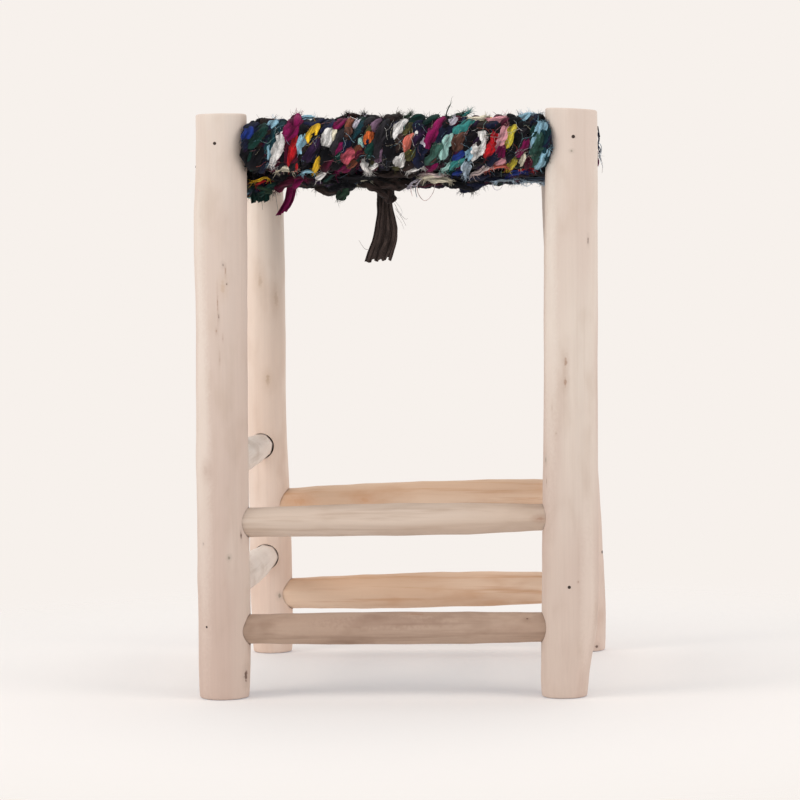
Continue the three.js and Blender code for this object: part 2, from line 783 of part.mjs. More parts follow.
// Seat: the winding from front to rear over the one from side to side, and the rag ends
const seat = new THREE.Group();
seat.add(windingMesh('front_to_rear_rope', sticks.front_seat_rail, sticks.rear_seat_rail, cloth(0x33323d)));
seat.add(windingMesh('side_to_side_rope', sticks.right_seat_rail, sticks.left_seat_rail, cloth(0x24232b)));
for (const [name, rag] of Object.entries(rags)) {
  seat.add(ragMesh(name, rag));
}

// The whole stool, moved so that the middle of its footprint on the floor is the origin
const stool = new THREE.Group();
stool.add(frame, fastenings, seat);
const bounds = new THREE.Box3().setFromObject(stool);
const middle = bounds.getCenter(new THREE.Vector3());
stool.position.set(-middle.x, -middle.y, -bounds.min.z);

export default stool;
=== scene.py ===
"""Looks of a Moroccan kursi stool: debarked posts, whittled sticks and a seat wound in rag rope.

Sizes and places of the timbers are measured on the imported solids. The rags that show on the front
wraps are kept in a table, and everything that repeats is worked out from seeded draws.
"""
import sys
import logging
import math
from dataclasses import dataclass, field
from enum import Enum

import bmesh
import bpy
import numpy as np
from bmesh.types import BMesh
from bpy.types import Material, NodeSocket as Socket, Object
from mathutils import Matrix, Vector


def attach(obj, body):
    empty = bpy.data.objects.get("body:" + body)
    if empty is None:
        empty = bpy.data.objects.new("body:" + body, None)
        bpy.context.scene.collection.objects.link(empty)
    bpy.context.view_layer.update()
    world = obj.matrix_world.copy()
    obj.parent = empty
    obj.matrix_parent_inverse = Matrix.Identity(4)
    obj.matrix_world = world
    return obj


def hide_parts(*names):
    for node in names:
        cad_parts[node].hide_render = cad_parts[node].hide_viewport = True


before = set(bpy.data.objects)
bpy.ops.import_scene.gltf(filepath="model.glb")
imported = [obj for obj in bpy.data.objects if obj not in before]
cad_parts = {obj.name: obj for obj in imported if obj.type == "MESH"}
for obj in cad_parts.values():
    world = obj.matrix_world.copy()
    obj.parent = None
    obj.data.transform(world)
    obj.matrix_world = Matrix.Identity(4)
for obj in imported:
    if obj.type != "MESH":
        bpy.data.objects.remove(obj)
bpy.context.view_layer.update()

BODY = "root"
LOG = logging.getLogger("kursi_stool")

MM = 0.001
IMAGE_SIDE_PX = 800
SENSOR_WIDTH = 36.0
TENON_DEPTH = 28.0 * MM
SHOULDER = (7.0 * MM, 11.0 * MM)
MERGE_DISTANCE = 0.0005 * MM
SMOOTH_ANGLE = math.radians(40.0)
END_MARGIN = 1.2 * MM
ORIGIN = (0.0, 0.0, 0.0)
CREAM_WHITE = (247, 241, 236)

Array = np.ndarray
Rings = np.ndarray  # ring, side and coordinate
Colour = tuple[float, float, float]


def linear(tone: Colour) -> Colour:
    """Turn a display colour into scene light.

    Args:
        tone: red, green and blue from 0 to 255.

    Returns:
        The same colour as linear values from 0 to 1.
    """
    knee, slope, offset, scale, power = 0.04045, 12.92, 0.055, 1.055, 2.4
    shares = [value / 255.0 for value in tone]
    return tuple(s / slope if s <= knee else ((s + offset) / scale) ** power for s in shares)


class Axis(Enum):
    """Direction that a timber runs in."""

    ACROSS = 0
    DEEP = 1
    UPRIGHT = 2

    @property
    def pair(self) -> tuple[int, int]:
        """The two directions square to the timber, in right-handed order."""
        return (self.value + 1) % 3, (self.value + 2) % 3


class Rag(Enum):
    """Colours of the torn rags, as a display shows them."""

    BLACK = (18, 17, 22)
    CHARCOAL = (38, 35, 39)
    NAVY = (26, 30, 54)
    ROYAL = (36, 58, 136)
    SLATE = (96, 112, 132)
    PURPLE = (44, 26, 54)
    MAUVE = (116, 90, 110)
    LIGHT_BLUE = (150, 194, 214)
    MINT = (164, 206, 198)
    TEAL = (56, 130, 126)
    DARK_TEAL = (22, 54, 62)
    BOTTLE = (20, 51, 45)
    FOREST = (40, 62, 46)
    GREEN = (54, 86, 76)
    OLIVE = (76, 72, 42)
    DARK_BROWN = (52, 40, 37)
    UMBER = (68, 56, 52)
    BROWN = (96, 64, 54)
    RUST = (124, 70, 52)
    ORANGE = (220, 106, 52)
    CORAL = (210, 110, 94)
    ROSE = (190, 84, 98)
    PINK = (216, 150, 158)
    MAGENTA = (122, 20, 74)
    PLUM = (112, 18, 68)
    MAROON = (76, 18, 40)
    RED = (188, 28, 36)
    YELLOW = (236, 186, 46)
    MUSTARD = (200, 182, 62)
    WHITE = (238, 233, 229)
    CREAM = (224, 214, 190)
    SHELL = (216, 194, 190)
    ICE = (188, 206, 220)
    LILAC = (206, 198, 210)

    @property
    def light(self) -> Array:
        """The same colour as scene light."""
        return np.array(linear(self.value))


RAGS = tuple(Rag)
RAG_LIGHT = np.array([rag.light for rag in RAGS])

SEAT_MIX = {
    Rag.BLACK: 18, Rag.CHARCOAL: 10, Rag.NAVY: 9, Rag.DARK_BROWN: 7, Rag.BOTTLE: 6, Rag.MAROON: 5,
    Rag.DARK_TEAL: 5, Rag.WHITE: 7, Rag.MAGENTA: 6, Rag.LIGHT_BLUE: 6, Rag.YELLOW: 3, Rag.RED: 4,
    Rag.TEAL: 4, Rag.PINK: 3, Rag.ORANGE: 2, Rag.ROYAL: 4, Rag.BROWN: 3, Rag.MINT: 2, Rag.MUSTARD: 2,
    Rag.CORAL: 2, Rag.PURPLE: 3,
}
UNDER_MIX = {
    Rag.BLACK: 30, Rag.CHARCOAL: 16, Rag.NAVY: 12, Rag.DARK_BROWN: 10, Rag.BOTTLE: 5, Rag.MAROON: 5,
    Rag.PURPLE: 5, Rag.DARK_TEAL: 3, Rag.BROWN: 2, Rag.OLIVE: 2,
}


class FinishTree:
    """Node tree of one material, with short calls for the nodes that the finishes share."""

    def __init__(self, name: str) -> None:
        """Start a material with its own shader.

        Args:
            name: the material's name.
        """
        self.material = bpy.data.materials.new(name)
        self.material.use_nodes = True
        self.tree = self.material.node_tree
        self.shader = self.tree.nodes["Principled BSDF"]

    def feed(self, socket: Socket, value: object) -> None:
        """Give a socket a link or a plain value.

        Args:
            socket: the input to feed.
            value: an output socket, a number, or a tuple.
        """
        if isinstance(value, Socket):
            self.tree.links.new(value, socket)
        elif isinstance(value, tuple) and socket.type == "RGBA":
            socket.default_value = (*value, 1.0)
        else:
            socket.default_value = value

    def node(self, kind: str, inputs: dict, output: str | int = 0, **settings: object) -> Socket:
        """Add a node and feed its inputs.

        Args:
            kind: the node's type name.
            inputs: what each input is fed, by its name or number.
            output: the name or number of the wanted output.
            settings: properties to set on the node.

        Returns:
            The wanted output.
        """
        node = self.tree.nodes.new(kind)
        for key, value in settings.items():
            setattr(node, key, value)
        for key, value in inputs.items():
            self.feed(node.inputs[key], value)
        return node.outputs[output]

    def place(self) -> Socket:
        """Give the object coordinates."""
        return self.node("ShaderNodeTexCoord", {}, "Object")

    def stretched(self, source: Socket, scale: Colour, shift: Colour = (0, 0, 0)) -> Socket:
        """Scale a set of coordinates, then move them."""
        return self.node("ShaderNodeMapping", {"Vector": source, "Scale": scale, "Location": shift})

    def noise(self, source: Socket, scale: float, detail: float, rough: float = 0.5,
              warp: float = 0.0) -> Socket:
        """Give soft noise near 0.5, with so many cells in each unit of length and so many octaves."""
        inputs = {"Vector": source, "Scale": scale, "Detail": detail, "Roughness": rough, "Distortion": warp}
        return self.node("ShaderNodeTexNoise", inputs, "Fac")

    def span(self, value: Socket, low: float, high: float, start: float = 0.0, stop: float = 1.0) -> Socket:
        """Map values from low to high smoothly onto start to stop."""
        inputs = {"Value": value, "From Min": low, "From Max": high, "To Min": start, "To Max": stop}
        return self.node("ShaderNodeMapRange", inputs, "Result", interpolation_type="SMOOTHSTEP")

    def mix(self, factor: object, first: object, second: object, blend: str = "MIX") -> Socket:
        """Mix two colours, where the factor is the share of the second."""
        inputs = {0: factor, 6: first, 7: second}
        return self.node("ShaderNodeMix", inputs, 2, data_type="RGBA", blend_type=blend)

    def sum(self, operation: str, first: object, second: object = 0.0) -> Socket:
        """Work out one sum of two numbers."""
        return self.node("ShaderNodeMath", {0: first, 1: second}, operation=operation)

    def vector(self, operation: str, first: object, second: object = ORIGIN,
               output: str = "Vector") -> Socket:
        """Work out one sum of two vectors."""
        return self.node("ShaderNodeVectorMath", {0: first, 1: second}, output, operation=operation)

    def relief(self, height: Socket, strength: float, depth: float, under: Socket | None = None) -> Socket:
        """Turn a height pattern of some depth in metres into a bumped normal, on a coarser one if given."""
        inputs = {"Height": height, "Strength": strength, "Distance": depth}
        return self.node("ShaderNodeBump", inputs if under is None else inputs | {"Normal": under})

    def paint(self, **inputs: object) -> Material:
        """Feed the shader.

        Args:
            inputs: what each of its inputs is fed, by its name in small letters.

        Returns:
            The finished material.
        """
        sockets = {socket.name.lower().replace(" ", "_"): socket for socket in self.shader.inputs}
        for name, value in inputs.items():
            self.feed(sockets[name], value)
        return self.material


class MarkKind(Enum):
    """Kinds of mark on bare wood: colour, strength at the heart and strength of the halo. Most are natural
    marks; one is painted light and one is painted shade.
    """

    PIN_KNOT = ((88, 58, 44), 0.85, 0.10)
    KNOT = ((164, 124, 102), 0.50, 0.32)
    STREAK = ((154, 112, 84), 0.55, 0.14)
    STAIN = ((126, 122, 104), 0.60, 0.15)
    WARM = ((206, 150, 110), 0.35, 0.30)
    PATCH = ((200, 168, 136), 0.34, 0.12)
    # Painted light: a pale patch standing in for brighter lighting on one side of a post
    PALE = ((246, 234, 222), 0.0, 0.50)
    # Painted shade: a dark patch darkening one face of a stick where less light falls
    PAINTED_SHADE = ((146, 116, 100), 0.30, 0.20)
    SWELLING = ((0, 0, 0), 0.0, 0.0)


@dataclass(frozen=True)
class Mark:
    """One knot, streak or patch of painted light or painted shade, at a height and a bearing on a post or at
    a place along a stick.
    """

    kind: MarkKind
    along: float
    bearing: float
    width: float
    length: float


@dataclass(frozen=True)
class BareWood:
    """Finish of debarked or whittled wood with its grain along the timber."""

    name: str
    pale: Colour
    rosy: Colour
    deep: Colour
    axis: Axis = Axis.UPRIGHT
    figure: float = 0.5
    streaking: float = 0.15
    band_scale: float = 26.0
    grain_scale: float = 620.0
    roughness: float = 0.74
    shift: float = 0.0
    # Painted shade: upright timbers are multiplied by this tint at the floor, fading out at this height
    foot_shade_height: float = 400.0 * MM
    foot_shade_tint: Colour = (0.83, 0.775, 0.76)

    def by_grain(self, along: float, across: float) -> Colour:
        """Give one factor along the grain and another across it as three."""
        return tuple(along if index == self.axis.value else across for index in range(3))

    def dress(self, marks: list[tuple[Mark, Vector]]) -> Material:
        """Make the material.

        Args:
            marks: knots, streaks and patches of painted light and shade, with their places on the piece.

        Returns:
            The wood material.
        """
        tree = FinishTree(self.name)
        place = tree.place()
        shift = (self.shift, self.shift * 0.7, self.shift * 1.3)

        def pattern(share: float, scale: float, *shape: float) -> Socket:
            """Give noise that is drawn out along the grain."""
            return tree.noise(tree.stretched(place, self.by_grain(share, 1.0), shift), scale, *shape)

        band = pattern(0.20, self.band_scale, 2.0, 0.45, 0.3)
        streak = pattern(0.045, self.band_scale * 6.0, 4.0, 0.6)
        grain = pattern(0.02, self.grain_scale, 3.0, 0.6)
        mottle = pattern(0.4, self.band_scale * 2.2, 3.0)
        deep = linear(self.deep)
        colour = tree.mix(tree.span(band, 0.36, 0.64), linear(self.pale), linear(self.rosy))
        colour = tree.mix(tree.span(mottle, 0.46, 0.78, 0.0, self.figure), colour, deep)
        colour = tree.mix(tree.span(streak, 0.50, 0.72, 0.0, self.streaking), colour, deep)
        colour = tree.mix(1.0, colour, tree.span(grain, 0.25, 0.75, 0.98, 1.015), "MULTIPLY")
        for mark, spot in marks:
            colour = self.marked(tree, colour, place, mark, spot)
        # Painted shade on the posts: the colour is made darker towards the feet, where less light falls
        if self.axis is Axis.UPRIGHT:
            height = tree.vector("DOT_PRODUCT", place, (0.0, 0.0, 1.0), "Value")
            painted_foot_shade = tree.mix(tree.span(height, 0.0, self.foot_shade_height), self.foot_shade_tint, (1.0, 1.0, 1.0))
            colour = tree.mix(1.0, colour, painted_foot_shade, "MULTIPLY")
        coarse = tree.relief(streak, 0.1, 0.2 * MM)
        return tree.paint(base_color=colour, specular_ior_level=0.32,
                          roughness=tree.span(mottle, 0.3, 0.7, self.roughness - 0.06, self.roughness + 0.08),
                          normal=tree.relief(grain, 0.1, 0.05 * MM, coarse))

    def marked(self, tree: FinishTree, colour: Socket, place: Socket, mark: Mark, spot: Vector) -> Socket:
        """Lay one knot, streak or patch of painted light or shade over the wood's colour.

        Args:
            tree: the wood's node tree.
            colour: colour so far.
            place: object coordinates.
            mark: the knot, streak or patch of painted light or shade.
            spot: its place on the piece.

        Returns:
            The colour with the mark.
        """
        tone, heart, halo = mark.kind.value
        reach = self.by_grain(1.0 / (mark.length * MM), 1.0 / (mark.width * MM))
        distance = tree.vector("MULTIPLY", tree.vector("SUBTRACT", place, tuple(spot)), reach)
        ragged = tree.span(tree.noise(place, 420.0, 3.0), 0.2, 0.8, -0.35, 0.35)
        uneven = tree.sum("ADD", tree.vector("LENGTH", distance, output="Value"), ragged)
        colour = tree.mix(tree.span(uneven, 0.9, 3.2, halo, 0.0), colour, linear(tone))
        return tree.mix(tree.span(uneven, 0.35, 1.1, heart, 0.0), colour, linear(tone))


@dataclass(frozen=True)
class EndGrain:
    """Finish of a sawn end: growth rings round the heart and a few drying checks."""

    name: str
    pale: Colour = (220, 200, 182)
    deep: Colour = (204, 178, 154)
    ring_width: float = 2.3 * MM

    def dress(self, heart: Vector) -> Material:
        """Make the material.

        Args:
            heart: a point on the timber's centre line at the sawn end.

        Returns:
            The end grain material.
        """
        tree = FinishTree(self.name)
        centred = tree.vector("SUBTRACT", tree.place(), tuple(heart))
        radius = tree.vector("LENGTH", tree.vector("MULTIPLY", centred, (1.0, 1.0, 0.0)), output="Value")
        bent = tree.span(tree.noise(centred, 55.0, 2.0), 0.0, 1.0, -3.0 * MM, 3.0 * MM)
        wavy = tree.sum("ADD", radius, bent)
        ring = tree.sum("SINE", tree.sum("MULTIPLY", wavy, 2.0 * math.pi / self.ring_width))
        rough = tree.noise(centred, 900.0, 3.0)
        colour = tree.mix(tree.span(ring, -0.4, 1.0), linear(self.pale), linear(self.deep))
        colour = tree.mix(tree.span(rough, 0.55, 0.8, 0.0, 0.35), colour, linear(self.deep))
        return tree.paint(base_color=colour, roughness=0.86, normal=tree.relief(rough, 0.4, 0.3 * MM))


@dataclass(frozen=True)
class NailSteel:
    """Finish of a small dull steel nail with a breath of rust."""

    name: str = "nail_steel"
    steel: Colour = (62, 55, 51)
    rust: Colour = (92, 58, 42)

    def dress(self) -> Material:
        """Make the material.

        Returns:
            The steel material.
        """
        tree = FinishTree(self.name)
        spots = tree.noise(tree.place(), 1400.0, 3.0)
        colour = tree.mix(tree.span(spots, 0.5, 0.7), linear(self.steel), linear(self.rust))
        return tree.paint(base_color=colour, metallic=0.7, roughness=tree.span(spots, 0.35, 0.7, 0.42, 0.75),
                          normal=tree.relief(spots, 0.3, 0.1 * MM))


@dataclass(frozen=True)
class RagCloth:
    """Finish of twisted cotton rag, whose colour and lay are kept on the mesh, with painted shade and painted
    highlight along its creases.
    """

    name: str
    crease_depth: float = 1.1 * MM
    faded_tone: Colour = (150, 144, 142)

    def dress(self) -> Material:
        """Make the material.

        Returns:
            The rag material.
        """
        tree = FinishTree(self.name)
        rag = tree.node("ShaderNodeAttribute", {}, "Color", attribute_name="rag")
        lay = tree.node("ShaderNodeAttribute", {}, "Vector", attribute_name="lay")
        crease = tree.noise(tree.stretched(lay, (1.0, 1.0, 0.10)), 0.75, 4.0, 0.6, 0.4)
        thread = tree.noise(tree.stretched(lay, (1.0, 1.0, 0.35)), 3.2, 3.0, 0.6)
        wear = tree.noise(lay, 0.22, 3.0, 0.6)
        # Painted shade and painted highlight: the crease noise darkens the cloth in its folds and lightens it
        # on the ridges
        shade = tree.mix(1.0, rag, tree.span(crease, 0.30, 0.66, 0.45, 1.26), "MULTIPLY")
        shade = tree.mix(1.0, shade, tree.span(thread, 0.28, 0.72, 0.66, 1.24), "MULTIPLY")
        faded = tree.mix(0.5, shade, linear(self.faded_tone))
        folds = tree.relief(crease, 0.9, self.crease_depth)
        return tree.paint(base_color=tree.mix(tree.span(wear, 0.62, 0.85, 0.0, 0.16), shade, faded),
                          roughness=0.96, specular_ior_level=0.10, sheen_weight=0.06, sheen_roughness=0.5,
                          normal=tree.relief(thread, 0.7, 0.3 * MM, folds))


@dataclass(frozen=True)
class FloorPaint:
    """Finish of a plain pale floor, with a little cool light of its own, that fades out round the stool."""

    name: str = "pale_floor"
    tone: Colour = (239, 228, 218)
    glow: Colour = (0.05, 0.10, 0.15)
    solid_radius: float = 0.30
    clear_radius: float = 0.78

    def dress(self) -> Material:
        """Make the material.

        Returns:
            The floor material.
        """
        tree = FinishTree(self.name)
        radius = tree.vector("LENGTH", tree.place(), output="Value")
        faded = tree.span(radius, self.solid_radius, self.clear_radius)
        clear = tree.node("ShaderNodeBsdfTransparent", {})
        blend = tree.node("ShaderNodeMixShader", {0: faded, 1: tree.shader.outputs[0], 2: clear})
        tree.feed(tree.tree.nodes["Material Output"].inputs["Surface"], blend)
        return tree.paint(base_color=linear(self.tone), emission_color=self.glow, emission_strength=1.0,
                          roughness=1.0, specular_ior_level=0.0)


def wander(along: Array, seed: int, wavelength: float, waves: int = 4) -> Array:
    """Give a smooth random value from about -1 to 1 along a line.

    Args:
        along: distances along the line.
        seed: which draw.
        wavelength: typical length of one swing, in the same unit.
        waves: how many sine waves are added.

    Returns:
        One value for each distance.
    """
    draw = np.random.default_rng(seed)
    total = np.zeros_like(along, dtype=float)
    for _ in range(waves):
        length = wavelength * draw.uniform(0.6, 1.7)
        total += np.sin(2.0 * np.pi * (along / length + draw.uniform()))
    return total / math.sqrt(waves)


def unit(vectors: Array) -> Array:
    """Scale a vector, or each row of vectors, to length one."""
    return vectors / np.linalg.norm(vectors, axis=-1, keepdims=True)


def directions(sides: int) -> Array:
    """Give evenly spaced angles round a ring."""
    return np.arange(sides) * 2.0 * np.pi / sides


def frame_along(points: Array, outward: Array) -> tuple[Array, Array, Array]:
    """Give the three directions of a bent strand at each of its points.

    Args:
        points: the strand's centre line.
        outward: roughly which way is out.

    Returns:
        Directions along the strand, outward and sideways, square to one another.
    """
    tangent = unit(np.gradient(points, axis=0))
    outward = unit(outward - (outward * tangent).sum(axis=1)[:, None] * tangent)
    return tangent, outward, np.cross(tangent, outward)


def roll_skins(bm: BMesh, strands: list[Rings], tones: list[Rings] | None = None,
               lays: list[Rings] | None = None) -> None:
    """Roll a grid up into closed skins along rings of points.

    Args:
        bm: the mesh to add to.
        strands: for each skin its rings.
        tones: for each skin the linear colour of each point.
        lays: for each skin the place of each point in the cloth, in millimetres.
    """
    sides = strands[0].shape[1]
    counts = [strand.shape[0] for strand in strands]
    total = sum(counts)
    seam = [*range(sides), 0]
    points = np.concatenate(strands)[:, seam].reshape(-1, 3)
    before = len(bm.verts)
    bmesh.ops.create_grid(bm, x_segments=sides, y_segments=total - 1, size=1.0)
    for vert, point in zip(list(bm.verts)[before:], points.tolist()):
        vert.co = point
    layers = bm.verts.layers
    kinds = (("rag", layers.float_color, 4, tones), ("lay", layers.float_vector, 3, lays))
    for name, kind, size, rows in kinds:
        if rows is None:
            continue
        layer = kind.get(name) or kind.new(name)
        values = np.concatenate(rows)[:, seam].reshape(-1, 3)
        for vert, value in zip(list(bm.verts)[before:], values.tolist()):
            vert[layer] = (*value, 1.0)[:size]
    if len(strands) > 1:
        bm.faces.ensure_lookup_table()
        joins = np.cumsum(counts)[:-1] - 1
        first = len(bm.faces) - sides * (total - 1)
        bridges = [bm.faces[first + row * sides + side] for row in joins for side in range(sides)]
        bmesh.ops.delete(bm, geom=bridges, context="FACES_ONLY")
    bmesh.ops.remove_doubles(bm, verts=bm.verts, dist=MERGE_DISTANCE)
    bmesh.ops.holes_fill(bm, edges=[edge for edge in bm.edges if edge.is_boundary], sides=0)
    bmesh.ops.recalc_face_normals(bm, faces=bm.faces)


def stand(name: str, data: bpy.types.ID) -> Object:
    """Put a new object with its data into the scene.

    Args:
        name: the object's name.
        data: its mesh, light or camera.

    Returns:
        The new object.
    """
    item = bpy.data.objects.new(name, data)
    bpy.context.scene.collection.objects.link(item)
    return item


def piece_from(bm: BMesh, name: str, materials: list[Material]) -> Object:
    """Make a smooth-shaded object at the origin from a finished mesh.

    Args:
        bm: the mesh, which is freed.
        name: the piece's name.
        materials: its materials in slot order.

    Returns:
        The new object.
    """
    mesh = bpy.data.meshes.new(name)
    bm.to_mesh(mesh)
    bm.free()
    mesh.shade_smooth()
    mesh.set_sharp_from_angle(angle=SMOOTH_ANGLE)
    for material in materials:
        mesh.materials.append(material)
    return stand(name, mesh)


def settle(piece: Object, slot: str, *nodes: str) -> None:
    """Let a piece ride on the stool and stand for its nodes.

    Args:
        piece: the finished piece.
        slot: not used.
        nodes: CAD nodes that it stands for.
    """
    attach(piece, BODY)
    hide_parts(*nodes)
    LOG.info("%s: %d faces, for %s", piece.name, len(piece.data.polygons), ", ".join(nodes))


@dataclass(frozen=True)
class Timber:
    """Centre line and girth of a round timber, measured on its solid."""

    axis: Axis
    stations: Array
    centres: Array
    radii: Array

    @classmethod
    def measure(cls, node: str, axis: Axis, count: int = 60) -> "Timber":
        """Measure a node's solid with a row of slices.

        Args:
            node: name of the CAD node.
            axis: direction that the timber runs in.
            count: number of slices.

        Returns:
            The timber.
        """
        corners = cls.triangles(node)
        places = corners[:, :, axis.value]
        stations = np.linspace(places.min() + END_MARGIN, places.max() - END_MARGIN, count)
        slices = (cls.slice_at(corners, axis, station) for station in stations)
        centres, radii = zip(*(cls.fit_round(points, axis) for points in slices))
        return cls(axis, stations, np.array(centres), np.array(radii))

    @property
    def low(self) -> float:
        """Place of the end with the lower coordinate."""
        return self.stations[0] - END_MARGIN

    @property
    def high(self) -> float:
        """Place of the end with the higher coordinate."""
        return self.stations[-1] + END_MARGIN

    @staticmethod
    def triangles(node: str) -> Array:
        """Give the corners of a node's triangles.

        Args:
            node: name of the CAD node.

        Returns:
            Corners, as an array of triangle, corner and coordinate.
        """
        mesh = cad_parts[node].data
        mesh.calc_loop_triangles()
        places = np.empty(len(mesh.vertices) * 3)
        mesh.vertices.foreach_get("co", places)
        index = np.empty(len(mesh.loop_triangles) * 3, dtype=int)
        mesh.loop_triangles.foreach_get("vertices", index)
        return places.reshape(-1, 3)[index].reshape(-1, 3, 3)

    @staticmethod
    def slice_at(corners: Array, axis: Axis, station: float) -> Array:
        """Give the points where triangle edges cross a plane.

        Args:
            corners: triangle corners.
            axis: direction square to the plane.
            station: the plane's place along it.

        Returns:
            Crossing points.
        """
        found = []
        for first, second in ((0, 1), (1, 2), (2, 0)):
            start, stop = corners[:, first], corners[:, second]
            before = start[:, axis.value] - station
            after = stop[:, axis.value] - station
            crossing = before * after < 0.0
            share = before[crossing] / (before[crossing] - after[crossing])
            found.append(start[crossing] + share[:, None] * (stop[crossing] - start[crossing]))
        return np.concatenate(found)

    @staticmethod
    def fit_round(points: Array, axis: Axis) -> tuple[Array, float]:
        """Fit a circle to the outermost points of a slice, so that holes don't count.

        Args:
            points: crossing points.
            axis: direction square to the slice.

        Returns:
            The circle's centre across the timber and its radius.
        """
        flat = points[:, list(axis.pair)]
        centre = (flat.min(axis=0) + flat.max(axis=0)) / 2.0
        tolerance, rounds, outer_percentile = 0.9 * MM, 5, 85
        for _ in range(rounds):
            distance = np.linalg.norm(flat - centre, axis=1)
            radius = np.percentile(distance, outer_percentile)
            kept = flat[distance > radius - tolerance]
            matrix = np.column_stack([2.0 * kept, np.ones(len(kept))])
            answer = np.linalg.lstsq(matrix, (kept ** 2).sum(axis=1), rcond=None)[0]
            centre = answer[:2]
            radius = math.sqrt(answer[2] + centre @ centre)
        return centre, radius

    def centre_at(self, stations: Array) -> Array:
        """Give points on the centre line.

        Args:
            stations: places along the timber.

        Returns:
            One point for each station.
        """
        result = np.empty((len(stations), 3))
        result[:, self.axis.value] = stations
        for column, coordinate in enumerate(self.axis.pair):
            result[:, coordinate] = np.interp(stations, self.stations, self.centres[:, column])
        return result

    def radius_at(self, stations: Array) -> Array:
        """Give the radius at places along the timber."""
        return np.interp(stations, self.stations, self.radii)

    def rings(self, stations: Array, radii: Array) -> Rings:
        """Place rings of points round the centre line.

        Args:
            stations: where the rings stand.
            radii: radius of each point, as an array of ring and side.

        Returns:
            The rings.
        """
        sides = radii.shape[1]
        angles = directions(sides)
        rings = np.repeat(self.centre_at(stations)[:, None, :], sides, axis=1)
        first, second = self.axis.pair
        rings[:, :, first] += radii * np.cos(angles)
        rings[:, :, second] += radii * np.sin(angles)
        return rings


def eased_ends(low: float, high: float, ease: float, turns: tuple[float, ...],
               count: int) -> tuple[Array, Array]:
    """Space rings along a timber whose end edges are rounded.

    Args:
        low: place of its lower end.
        high: place of its higher end.
        ease: radius of the rounding.
        turns: angles of the rounding's rings in degrees, from the end inwards.
        count: number of rings between the two roundings.

    Returns:
        The place of each ring and how far it is drawn in.
    """
    angles = np.radians(turns)
    inset, rise = ease * (1.0 - np.cos(angles)), ease * (1.0 - np.sin(angles))
    places = np.concatenate([low + rise, np.linspace(low + ease, high - ease, count), high - rise[::-1]])
    return places, np.concatenate([inset, np.zeros(count), inset[::-1]])


def facets(angles: Array, count: int, corner: Array, depth: Array) -> Array:
    """Give the share of the radius that long knife cuts leave round a timber.

    Args:
        angles: directions round the timber.
        count: number of flats.
        corner: direction of one ridge between two flats, for each ring.
        depth: how flat the cuts are for each ring, from 0 for round to 1 for flat.

    Returns:
        Shares, as an array of ring and side.
    """
    width = 2.0 * np.pi / count
    local = np.mod(angles - corner[:, None], width) - width / 2.0
    flat = math.cos(width / 2.0) / np.cos(local)
    mean = (1.0 + math.cos(width / 2.0)) / 2.0
    return 1.0 + depth[:, None] * (flat - mean)


